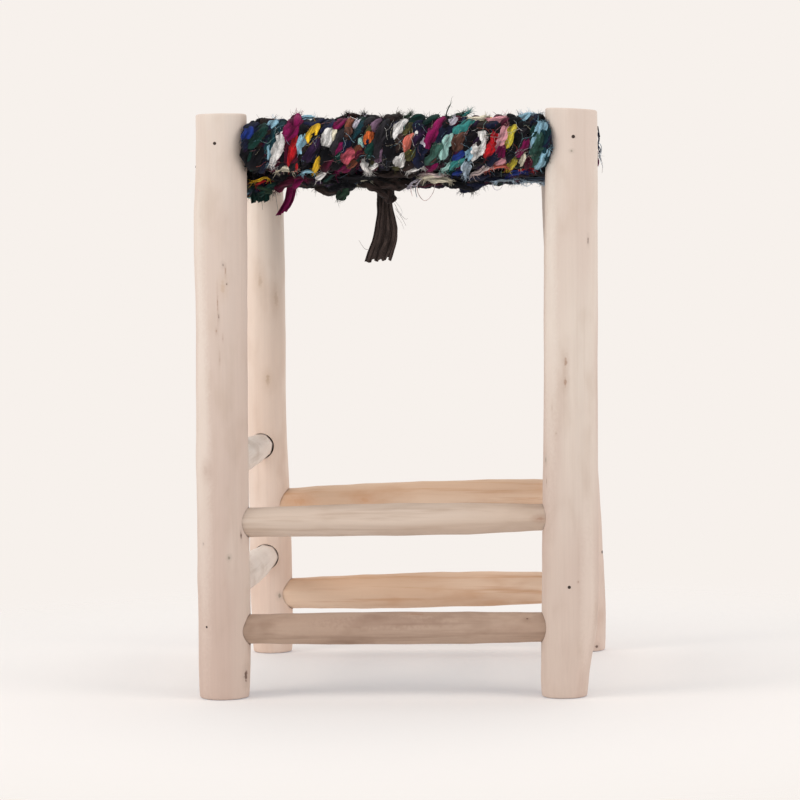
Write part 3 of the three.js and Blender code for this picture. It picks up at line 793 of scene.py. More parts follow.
@dataclass
class Post:
    """One debarked post with its mortises."""

    node: str
    finish: BareWood
    marks: tuple[Mark, ...] = ()
    sides: int = 80
    ring_gap: float = 4.0 * MM
    ease: float = 1.6 * MM
    flats: int = 9
    flat_depth: float = 0.35
    slant: float = 9.0 * MM
    knot_rise: float = 0.45 * MM
    knot_spread: float = 2.2
    bulge: Mark | None = None
    seed: int = 1
    timber: Timber = field(init=False)

    def __post_init__(self) -> None:
        """Measure the post's solid, and carry its girth straight on where the slanted top cuts the slices."""
        self.timber = Timber.measure(self.node, Axis.UPRIGHT)
        whole = self.timber.stations < self.timber.stations[-1] - self.slant
        last = np.flatnonzero(whole)[-1]
        self.timber.centres[last:] = self.timber.centres[last]
        self.timber.radii[last:] = self.timber.radii[last]

    def surface(self, height: float, bearing: float) -> Vector:
        """Give a point on the post's surface.

        Args:
            height: above the floor in millimetres.
            bearing: degrees from the front towards the right.

        Returns:
            The point.
        """
        station = np.array([height * MM])
        centre = Vector(self.timber.centre_at(station)[0])
        turn = math.radians(bearing)
        return centre + Vector((math.sin(turn), -math.cos(turn), 0.0)) * self.timber.radius_at(station)[0]

    def top_plane(self) -> tuple[float, float, float]:
        """Fit the slope of the sawn top.

        Returns:
            Its two slopes and its height at the origin.
        """
        corners = Timber.triangles(self.node)
        normals = np.cross(corners[:, 1] - corners[:, 0], corners[:, 2] - corners[:, 0])
        level = normals[:, 2] > 0.95 * np.linalg.norm(normals, axis=1)
        high = corners[:, :, 2].min(axis=1) > corners[:, :, 2].max() - self.slant
        points = corners[level & high].reshape(-1, 3)
        matrix = np.column_stack([points[:, :2], np.ones(len(points))])
        return tuple(np.linalg.lstsq(matrix, points[:, 2], rcond=None)[0])

    def rings(self) -> Rings:
        """Work out the post's rings of points.

        Returns:
            The rings.
        """
        high = self.timber.high
        count = int((high - 2.0 * self.ease) / self.ring_gap)
        heights, insets = eased_ends(0.0, high, self.ease, (90.0, 60.0, 30.0), count)
        angles = directions(self.sides)
        corner = 0.35 * wander(heights, self.seed, 0.45) + self.seed
        depth = self.flat_depth * (0.65 + 0.35 * wander(heights, self.seed + 7, 0.30))
        share = facets(angles, self.flats, corner, depth)
        drift = wander(heights, self.seed + 3, 0.25)[:, None]
        share += 0.010 * np.cos(2.0 * angles + 2.0 * drift) + 0.006 * np.cos(3.0 * angles - drift)
        share += 0.0025 * wander(heights, self.seed + 5, 0.03)[:, None]
        radii = self.timber.radius_at(heights)[:, None] * share + self.swellings(heights, angles)
        rings = self.timber.rings(heights, radii - insets[:, None])
        slope_x, slope_y, level = self.top_plane()
        tops = slope_x * rings[:, :, 0] + slope_y * rings[:, :, 1] + level
        rings[:, :, 2] = (heights / high)[:, None] * tops
        return rings

    def swellings(self, heights: Array, angles: Array) -> Array:
        """Raise the wood a little round each knot, and on one side where the post bulges.

        Args:
            heights: heights of the rings.
            angles: directions of the sides.

        Returns:
            Extra radius, as an array of ring and side.
        """
        extra = np.zeros((len(heights), len(angles)))
        girth = 20.0 * MM
        for mark in (*self.marks, self.bulge):
            if mark is None or mark.kind not in (MarkKind.KNOT, MarkKind.SWELLING):
                continue
            turn = np.angle(np.exp(1j * (angles - math.radians(mark.bearing - 90.0))))
            upward = ((heights - mark.along * MM) / (mark.length * MM)) ** 2
            if mark.kind is MarkKind.SWELLING:
                extra += mark.width * MM * np.exp(-upward)[:, None] * np.clip(np.cos(turn), 0.0, 1.0)
            else:
                across = (turn * girth / (mark.width * MM)) ** 2
                extra += self.knot_rise * np.exp(-(upward[:, None] + across) / self.knot_spread ** 2)
        return extra

    def build(self, bores: list[Rings], end_grain: EndGrain, hollow: Material) -> None:
        """Build the post and cut its mortises.

        Args:
            bores: the holes to cut.
            end_grain: finish of the two sawn ends.
            hollow: material of the walls of the holes.
        """
        bm = bmesh.new()
        roll_skins(bm, [self.rings()])
        for face in bm.faces:
            if len(face.verts) > 4:
                face.material_index = 1
        places = [(mark, self.surface(mark.along, mark.bearing)) for mark in self.marks]
        heart = Vector(self.timber.centre_at(self.timber.stations[-1:])[0])
        materials = [self.finish.dress(places), end_grain.dress(heart), hollow]
        piece = piece_from(bm, f"{self.node}_wood", materials)
        self.bore(piece, bores)
        settle(piece, "post_wood", self.node)

    @staticmethod
    def bore(piece: Object, bores: list[Rings]) -> None:
        """Cut round holes into a piece, which gets a new mesh.

        Args:
            piece: the piece to cut.
            bores: the holes.
        """
        bm = bmesh.new()
        roll_skins(bm, bores)
        for face in bm.faces:
            face.material_index = 2
        cutter = piece_from(bm, "mortise_cutter", list(piece.data.materials))
        cut = piece.modifiers.new("mortises", "BOOLEAN")
        cut.operation = "DIFFERENCE"
        cut.solver = "EXACT"
        cut.object = cutter
        graph = bpy.context.evaluated_depsgraph_get()
        plain, spare = piece.data, cutter.data
        mesh = bpy.data.meshes.new_from_object(piece.evaluated_get(graph))
        piece.modifiers.clear()
        piece.data = mesh
        mesh.name = piece.name
        mesh.set_sharp_from_angle(angle=SMOOTH_ANGLE)
        bpy.data.objects.remove(cutter)
        for unused in (plain, spare):
            bpy.data.meshes.remove(unused)


@dataclass
class Stick:
    """One whittled stretcher or rail."""

    node: str
    axis: Axis
    finish: BareWood
    slot: str
    marks: tuple[Mark, ...] = ()
    flats: int = 7
    flat_depth: float = 0.55
    ridge: float = 0.0
    ridge_drift: float = 0.25
    full_ends: bool = True
    sides: int = 56
    ring_gap: float = 3.0 * MM
    ease: float = 1.0 * MM
    seed: int = 1
    timber: Timber = field(init=False)

    def __post_init__(self) -> None:
        """Measure the stick's solid."""
        self.timber = Timber.measure(self.node, self.axis, 90)

    def radius_at(self, stations: Array) -> Array:
        """Give the radius, with the neck kept up into the mouths of the posts where the ends are full.

        Args:
            stations: places along the stick.

        Returns:
            One radius for each station.
        """
        low, high = self.timber.low, self.timber.high
        own = self.timber.radius_at(stations)
        if not self.full_ends:
            return own
        inset = TENON_DEPTH + 2.0 * MM
        neck = self.timber.radius_at(np.clip(stations, low + inset, high - inset))
        depth = np.minimum(stations - low, high - stations)
        return np.interp(depth, SHOULDER, (0.0, 1.0)) * (neck - own) + own

    def rings(self) -> Rings:
        """Work out the stick's rings of points.

        Returns:
            The rings.
        """
        low, high = self.timber.low, self.timber.high
        count = int((high - low) / self.ring_gap)
        stations, insets = eased_ends(low, high, self.ease, (90.0, 45.0), count)
        angles = directions(self.sides)
        along = np.linspace(-1.0, 1.0, len(stations))
        corner = math.radians(self.ridge) + self.ridge_drift * along
        corner += 0.10 * wander(stations, self.seed, 0.18)
        depth = self.flat_depth * (0.8 + 0.3 * wander(stations, self.seed + 2, 0.12))
        share = facets(angles, self.flats, corner, np.clip(depth, 0.0, 1.0))
        share += 0.010 * np.cos(2.0 * angles + wander(stations, self.seed + 4, 0.2)[:, None])
        share += 0.006 * wander(stations, self.seed + 6, 0.035)[:, None]
        return self.timber.rings(stations, self.radius_at(stations)[:, None] * share - insets[:, None])

    def surface(self, along: float, bearing: float) -> Vector:
        """Give a point on the stick's surface.

        Args:
            along: place along the stick in millimetres.
            bearing: degrees from the first direction across the stick towards the second.

        Returns:
            The point.
        """
        station = np.array([along * MM])
        point = self.timber.centre_at(station)[0]
        turn = math.radians(bearing)
        point[list(self.axis.pair)] += self.radius_at(station) * (math.cos(turn), math.sin(turn))
        return Vector(point)

    def mouth(self, at_low_end: bool, gap: float, offset: Colour) -> Rings:
        """Give the mortise for one end of the stick, wide at its mouth and narrow round the tenon.

        Args:
            at_low_end: whether it is the end with the lower coordinate.
            gap: how much wider than the stick the hole is.
            offset: how far the hole's axis lies from the stick's.

        Returns:
            The hole.
        """
        past, overrun, clearance, segments = 0.6 * MM, 12.0 * MM, 1.02, 48
        side, end = (1.0, self.timber.low) if at_low_end else (-1.0, self.timber.high)
        stations = end + side * np.array([-past, *SHOULDER, TENON_DEPTH + overrun])
        tenon, neck = self.radius_at(end + side * np.array([SHOULDER[0], TENON_DEPTH * 0.5]))
        radii = np.array([tenon, tenon, neck, neck]) * clearance + gap
        return self.timber.rings(stations, np.tile(radii[:, None], segments)) + offset

    def build(self) -> None:
        """Build the stick."""
        bm = bmesh.new()
        roll_skins(bm, [self.rings()])
        places = [(mark, self.surface(mark.along, mark.bearing)) for mark in self.marks]
        settle(piece_from(bm, f"{self.node}_wood", [self.finish.dress(places)]), self.slot, self.node)


@dataclass
class Nail:
    """One wire nail with a domed, hammered head.

    The profile's pairs are shares of the head's radius and of its thickness, above the top.
    """

    node: str
    segments: int = 20
    head_share: float = 0.78
    thick: float = 0.8 * MM
    point: float = 2.5 * MM
    profile_shares: tuple = ((0.0, 0.06), (0.55, 0.05), (0.9, -0.3), (1.0, -0.6), (0.92, -1.0))

    def build(self, steel: Material) -> None:
        """Build the nail where its solid is.

        Args:
            steel: the nail's material.
        """
        points = Timber.triangles(self.node).reshape(-1, 3)
        centre = points.mean(axis=0)
        direction = np.linalg.svd(points - centre, full_matrices=False)[2][0]
        along = (points - centre) @ direction
        across = np.linalg.norm(points - centre - along[:, None] * direction, axis=1)
        if across[along > along.mean()].max() < across[along < along.mean()].max():
            direction, along = -direction, -along
        head = across.max() * self.head_share
        top, bottom = along.max(), along.min()
        shank = across[along < bottom + 1.0 * MM].max()
        profile = [(wide * head, top + rise * self.thick) for wide, rise in self.profile_shares]
        profile += [(shank, top - self.thick), (shank, bottom + self.point), (0.0, bottom)]
        bm = bmesh.new()
        verts = [bm.verts.new((radius, 0.0, height)) for radius, height in profile]
        edges = [bm.edges.new(pair) for pair in zip(verts, verts[1:])]
        bmesh.ops.spin(bm, geom=verts + edges, cent=ORIGIN, axis=(0, 0, 1), angle=2.0 * math.pi,
                       steps=self.segments, use_merge=True)
        bmesh.ops.remove_doubles(bm, verts=bm.verts, dist=MERGE_DISTANCE)
        bmesh.ops.recalc_face_normals(bm, faces=bm.faces)
        turn = Vector(direction).to_track_quat("Z", "Y").to_matrix().to_4x4()
        bmesh.ops.transform(bm, matrix=Matrix.Translation(Vector(centre)) @ turn, verts=bm.verts)
        settle(piece_from(bm, f"{self.node}_steel", [steel]), "nail_steel", self.node)


FRONT_PLACES = (
    -111.6, -105.0, -96.9, -90.2, -79.9, -71.1, -62.9, -53.4, -45.3, -37.9, -30.1, -22.4, -12.1, -0.6,
    8.2, 15.2, 26.3, 35.8, 44.7, 51.3, 58.7, 66.8, 74.5, 82.7, 91.1, 99.5, 107.0,
)


def along_rail(place: float | Array) -> float | Array:
    """Turn a reading in millimetres of the rule in front of the seat into metres along the front rail."""
    rule_start, rule_step = 6.8, 1.032
    return (rule_start + rule_step * place) * MM


class Stretch(Enum):
    """The four stretches of one loop."""

    NEAR_ARC = 0
    TOP = 1
    FAR_ARC = 2
    UNDER = 3


@dataclass
class Winding:
    """A rag rope wound in loops round two rails."""

    near_rail: Timber
    far_rail: Timber
    near_places: Array
    far_places: Array
    leans: Array
    crossings: Array
    across: Axis
    parity: int = 1
    under_rise: float = 0.0
    wrap_radius: float = 16.0 * MM
    level: float = 434.0 * MM
    weave: float = 3.7 * MM
    sag: float = 2.5 * MM
    swing: float = 0.7 * MM
    edge_share: float = 0.09
    arc_step: float = 1.2 * MM
    run_step: float = 3.3 * MM
    pitch: float = 25.0 * MM
    seed: int = 11
    points: Array = field(init=False)
    outward: Array = field(init=False)
    along: Array = field(init=False)
    stretch: Array = field(init=False)

    def __post_init__(self) -> None:
        """Lay the rope's centre line, then give it the small swings of soft rag."""
        self.points, self.outward, self.stretch = self.lay_path()
        steps = np.linalg.norm(np.diff(self.points, axis=0), axis=1)
        self.along = np.concatenate([[0.0], np.cumsum(steps)])
        self.points[:, self.across.value] += self.swing * wander(self.along, self.seed + 1, 0.045)
        lift = 0.7 * self.swing * wander(self.along, self.seed + 2, 0.040)
        self.points += self.outward * lift[:, None]

    @property
    def run(self) -> int:
        """Index of the coordinate that the runs go along."""
        return 1 - self.across.value

    def bent(self, place: Array, run: Array, height: Array) -> Array:
        """Put the coordinates along the rails, along the runs and upwards together as points."""
        return np.column_stack([place, run, height] if self.run == 1 else [run, place, height])

    def rail_at(self, rail: Timber, place: float) -> tuple[float, float]:
        """Give a rail's run coordinate and height at a place along it."""
        centre = rail.centre_at(np.array([place]))[0]
        return centre[self.run], centre[2]

    def woven(self, loop: int, run: Array) -> Array:
        """Give how far a top run lies over or under the crossing ropes.

        Args:
            loop: number of the loop.
            run: coordinates along the run.

        Returns:
            Heights above the middle level.
        """
        number = np.arange(len(self.crossings))
        over = np.where((loop + number) % 4 < 2, 1.0, -1.0) * self.parity
        wave = np.interp(run, self.crossings, over)
        return self.weave * np.sin(wave * np.pi / 2.0)

    def lay_path(self) -> tuple[Array, Array, Array]:
        """Lay the loops one after another.

        Returns:
            Points, outward directions and stretch numbers.
        """
        laid, stretches = [], []
        last = len(self.near_places) - 1
        half_turn = np.pi / 2.0
        turns = np.linspace(-half_turn, half_turn, int(np.pi * self.wrap_radius / self.arc_step))
        for index, (near, far) in enumerate(zip(self.near_places, self.far_places)):
            following = self.near_places[min(index + 1, last)]
            near_run, near_height = self.rail_at(self.near_rail, near)
            far_run, far_height = self.rail_at(self.far_rail, far)
            next_run, next_height = self.rail_at(self.near_rail, following)
            share = np.linspace(0.0, 1.0, int(abs(far_run - near_run) / self.run_step))[1:-1]
            eased = share * share * (3.0 - 2.0 * share)
            inner = np.minimum(share, 1.0 - share) / self.edge_share
            edge = 1.0 - np.clip(1.0 - inner, 0.0, 1.0) ** 2
            run = near_run + share * (far_run - near_run)
            wrap_top = near_height + share * (far_height - near_height) + self.wrap_radius
            height = wrap_top + edge * (self.level - wrap_top + self.woven(index, run))
            top = self.bent(near + eased * (far - near), run, height)
            run = far_run + share * (next_run - far_run)
            height = far_height + share * (next_height - far_height) - self.wrap_radius
            height += edge * self.under_rise - np.sin(np.pi * share) * self.drawn_sag(index)
            under = self.bent(far + eased * (following - far), run, height)
            loop = (
                self.arc(near, near_run, near_height, turns, -1.0, self.leans[index]),
                (top, np.tile([0.0, 0.0, 1.0], (len(share), 1))),
                self.arc(far, far_run, far_height, turns[::-1], 1.0, 0.0),
                (under, np.tile([0.0, 0.0, -1.0], (len(share), 1))),
            )
            laid += loop
            stretches.append(np.repeat(np.arange(len(Stretch)), [len(points) for points, _ in loop]))
        points, outward = (np.concatenate(part) for part in zip(*laid))
        return points, outward, np.concatenate(stretches)

    def drawn_sag(self, loop: int) -> float:
        """Draw one loop's own sag."""
        return self.sag * (0.5 + 0.8 * np.random.default_rng(self.seed * 100 + loop).uniform(0.0, 1.6))

    def arc(self, place: float, run: float, height: float, turns: Array, side: float,
            lean: float) -> tuple[Array, Array]:
        """Lay the half turn round one rail.

        Args:
            place: place along the rail.
            run: the rail's run coordinate.
            height: the rail's height.
            turns: angles above the level, in order.
            side: -1 at the near rail and 1 at the far one.
            lean: how far the front of the wrap leans along the rail.

        Returns:
            Points and outward directions.
        """
        flat, rise = side * np.cos(turns), np.sin(turns)
        points = self.bent(place + lean * np.cos(turns) ** 2, run + self.wrap_radius * flat,
                           height + self.wrap_radius * rise)
        return points, self.bent(np.zeros_like(turns), flat, rise)


def crumple(along: Array, angles: Array, seed: int, depth: float = 1.0) -> Array:
    """Give the folds of a twisted rag as shares of its girth.

    Args:
        along: distances along the rag.
        angles: directions round it.
        seed: which draw.
        depth: how deep the folds are.

    Returns:
        Shares near 1, as an array of ring and side.
    """
    first = 2.5 * wander(along, seed, 0.045)[:, None]
    second = 3.0 * wander(along, seed + 1, 0.030)[:, None]
    third = 4.0 * wander(along, seed + 2, 0.022)[:, None]
    fold = 0.10 * np.cos(2.0 * angles + first) + 0.09 * np.cos(3.0 * angles - second)
    fold = fold + 0.06 * np.cos(5.0 * angles + third) - 0.11 * np.abs(np.sin(2.5 * angles + first)) ** 0.5
    return 1.0 + depth * (fold + 0.06)


def rings_round(points: Array, outward: Array, sideways: Array, proud: Array, aside: Array) -> Rings:
    """Place rings of points round a line, each so far out and so far aside from the line's point."""
    return points[:, None] + proud[:, :, None] * outward[:, None] + aside[:, :, None] * sideways[:, None]


def lay_round(angles: Array, along: Array, offset: float) -> Rings:
    """Give the place of each point of a rolled rag in its cloth, in millimetres.

    Args:
        angles: directions round the rag.
        along: distances along it.
        offset: where in the cloth's pattern the rag was torn from.

    Returns:
        The places.
    """
    roll_radius = 3.0
    places = (roll_radius * np.cos(angles) + offset, roll_radius * np.sin(angles), along[:, None] / MM)
    return np.stack(np.broadcast_arrays(*places), axis=2)


@dataclass
class RagRope:
    """Two plies of torn rag twisted together along a winding."""

    winding: Winding
    twist: Array
    girth: float
    rags: tuple[Array, Array]
    trims: tuple[Array, Array]
    core: float = 2.2 * MM
    thick: float = 2.7 * MM
    wide: float = 3.9 * MM
    closing_length: float = 4.0 * MM
    sides: int = 14
    seed: int = 21

    def ply(self, number: int) -> tuple[Rings, Rings, Rings]:
        """Work out one ply's rings.

        Args:
            number: 0 for the first ply and 1 for the second.

        Returns:
            Points, colours with painted shade in the folds, and places in the cloth.
        """
        winding, along = self.winding, self.winding.along
        _, outward, sideways = frame_along(winding.points, winding.outward)
        seed = self.seed + 50 * number
        phase = (self.twist + number * np.pi + 0.35 * wander(along, seed + 6, 0.05))[:, None]
        angles = directions(self.sides)
        lump = 1.0 + 0.13 * wander(along, seed, 0.030) + 0.07 * wander(along, seed + 1, 0.009)
        girth = (self.girth * lump)[:, None]
        fold = crumple(along, angles, seed + 2)
        radial = self.core * girth + self.thick * girth * fold * np.cos(angles)
        tangential = self.wide * girth * fold * np.sin(angles)
        rings = rings_round(winding.points, outward, sideways,
                            radial * np.cos(phase) - tangential * np.sin(phase),
                            radial * np.sin(phase) + tangential * np.cos(phase))
        ends = np.minimum(along, along[-1] - along) / self.closing_length
        closing = np.sqrt(np.clip(ends, 0.0, 1.0))[:, None, None]
        middle = rings.mean(axis=1, keepdims=True)
        edge = np.cos(angles - 3.0 * wander(along, seed + 5, 0.07)[:, None]) > 0.6
        trim, rag = (RAG_LIGHT[drawn[number]][:, None] for drawn in (self.trims, self.rags))
        # Colours carry a random tone along the ply, times painted shade that is darker in the fold valleys
        # and lighter on the ridges
        shade = (1.0 + 0.12 * wander(along, seed + 4, 0.02))[:, None]
        shade = shade * np.clip(1.0 + 2.0 * (fold - 1.0), 0.55, 1.2)
        tones = np.where(edge[:, :, None], trim, rag) * shade[:, :, None]
        return middle + closing * (rings - middle), tones, lay_round(angles, along, 40.0 * number)


@dataclass
class Skins:
    """Closed skins of rag or thread that become one piece."""

    strands: list[Rings] = field(default_factory=list, init=False)
    tones: list[Rings] = field(default_factory=list, init=False)
    lays: list[Rings] = field(default_factory=list, init=False)

    def keep(self, rings: Rings, tones: Rings, lay: Rings) -> None:
        """Keep one more skin's points, colours and places in the cloth."""
        for kept, fresh in ((self.strands, rings), (self.tones, tones), (self.lays, lay)):
            kept.append(fresh)

    def build(self, name: str, cloth: Material, slot: str = "rag_rope",
              node: str = "front_to_rear_rope") -> None:
        """Build all skins as one piece.

        Args:
            name: the piece's name.
            cloth: the rag material.
            slot: its material slot.
            node: CAD node that it stands for.
        """
        bm = bmesh.new()
        roll_skins(bm, self.strands, self.tones, self.lays)
        settle(piece_from(bm, name, [cloth]), slot, node)


def draw_rags(along: Array, mix: dict[Rag, int], seed: int, shortest: float, longest: float) -> Array:
    """Draw which rag is twisted in at each place along a ply.

    Args:
        along: distances along the ply.
        mix: how often each rag comes.
        seed: which draw.
        shortest: shortest rag.
        longest: longest rag.

    Returns:
        The number of a rag for each distance.
    """
    draw = np.random.default_rng(seed)
    choices = [RAGS.index(rag) for rag in mix]
    odds = np.array(list(mix.values()), dtype=float)
    result = np.zeros(len(along), dtype=int)
    start = 0.0
    while start < along[-1] + shortest:
        stop = start + draw.uniform(shortest, longest)
        result[(along >= start) & (along < stop)] = draw.choice(choices, p=odds / odds.sum())
        start = stop
    return result


@dataclass
class Seat:
    """The seat: a rope from front to rear, woven through a rope from side to side."""

    front: Stick
    rear: Stick
    left: Stick
    right: Stick
    end_room: float = 5.2 * MM
    cross_loops: int = 24
    under_rise: float = 10.0 * MM
    warp: Winding = field(init=False)
    weft: Winding = field(init=False)

    def plan(self, posts: dict[str, Post]) -> None:
        """Lay the two windings between the posts.

        Args:
            posts: the posts by name: front left, front right, rear left and rear right.
        """
        height = np.array([self.front.timber.centres[:, 1].mean()])
        timbers = [post.timber for post in posts.values()]
        centres = np.array([timber.centre_at(height)[0, :2] for timber in timbers])
        reaches = np.array([timber.radius_at(height) for timber in timbers]) + self.end_room
        inner = centres + reaches * ((1, 1), (-1, 1), (1, -1), (-1, -1))
        low, high, far_low, far_high = inner[:, 0]
        seen = along_rail(np.array(FRONT_PLACES))
        near = 0.5 * np.linspace(low, high, len(seen)) + 0.5 * np.clip(seen, low, high)
        far = np.linspace(far_low, far_high, len(near))
        rows = np.linspace(inner[:2, 1].max(), inner[2:, 1].min(), self.cross_loops)
        self.warp = Winding(self.front.timber, self.rear.timber, near, far, seen - near, rows, Axis.ACROSS,
                            under_rise=0.45 * self.under_rise, seed=11)
        self.weft = Winding(self.left.timber, self.right.timber, rows, rows, np.zeros(len(rows)),
                            (near + far) / 2.0, Axis.DEEP, parity=-1, under_rise=self.under_rise, seed=31)

    def rope(self, winding: Winding, seed: int, girth: float) -> RagRope:
        """Twist the rope of one winding, its rags brighter on top and behind than below and in front.

        Args:
            winding: the winding.
            seed: which draw.
            girth: share of the usual girth.

        Returns:
            The rope.
        """
        along = winding.along
        twist = 2.0 * np.pi * along / winding.pitch + 0.9 * wander(along, seed, 0.12)
        dark = winding.stretch == Stretch.UNDER.value
        if winding is self.warp:
            dark = dark | (winding.stretch == Stretch.NEAR_ARC.value)
        layers = []
        for shortest, longest in ((60 * MM, 190 * MM), (15 * MM, 60 * MM)):
            pair = []
            for number in range(2):
                place = seed + 4 * len(layers) + number
                bright = draw_rags(along, SEAT_MIX, place, shortest, longest)
                under = draw_rags(along, UNDER_MIX, place + 2, shortest * 0.5, longest * 0.5)
                pair.append(np.where(dark, under, bright))
            layers.append(tuple(pair))
        return RagRope(winding, twist, girth, *layers, seed=seed)

    def build(self) -> list[tuple[RagRope, int, Rings, Rings]]:
        """Build the four plies as pieces.

        Returns:
            For each ply its rope, its number, its rings and its colours.
        """
        plies = []
        for rope, name, slot in (
            (self.rope(self.warp, 121, 0.98), "front_to_rear", "rag_rope"),
            (self.rope(self.weft, 241, 1.03), "side_to_side", "rag_rope_under"),
        ):
            cloth = RagCloth(slot).dress()
            for number, letter in enumerate("ab"):
                rings, tones, lay = rope.ply(number)
                skin = Skins()
                skin.keep(rings, tones, lay)
                skin.build(f"{name}_ply_{letter}", cloth, slot, f"{name}_rope")
                plies.append((rope, number, rings, tones))
        return plies


@dataclass(frozen=True)
class Scrap:
    """One torn rag that lies on the front wraps or hangs below them.

    Places are readings of the rule in front of the seat, and heights are above the rail's axis. Lift is
    how far it stands proud of the round of the wraps or, below them, in front of the rail's axis. The
    threads are the loose ones at its two ends.
    """

    rag: Rag
    start_place: float
    start_height: float
    stop_place: float
    stop_height: float
    half_width: float
    lift: float = -1.0
    start_threads: int = 2
    stop_threads: int = 2


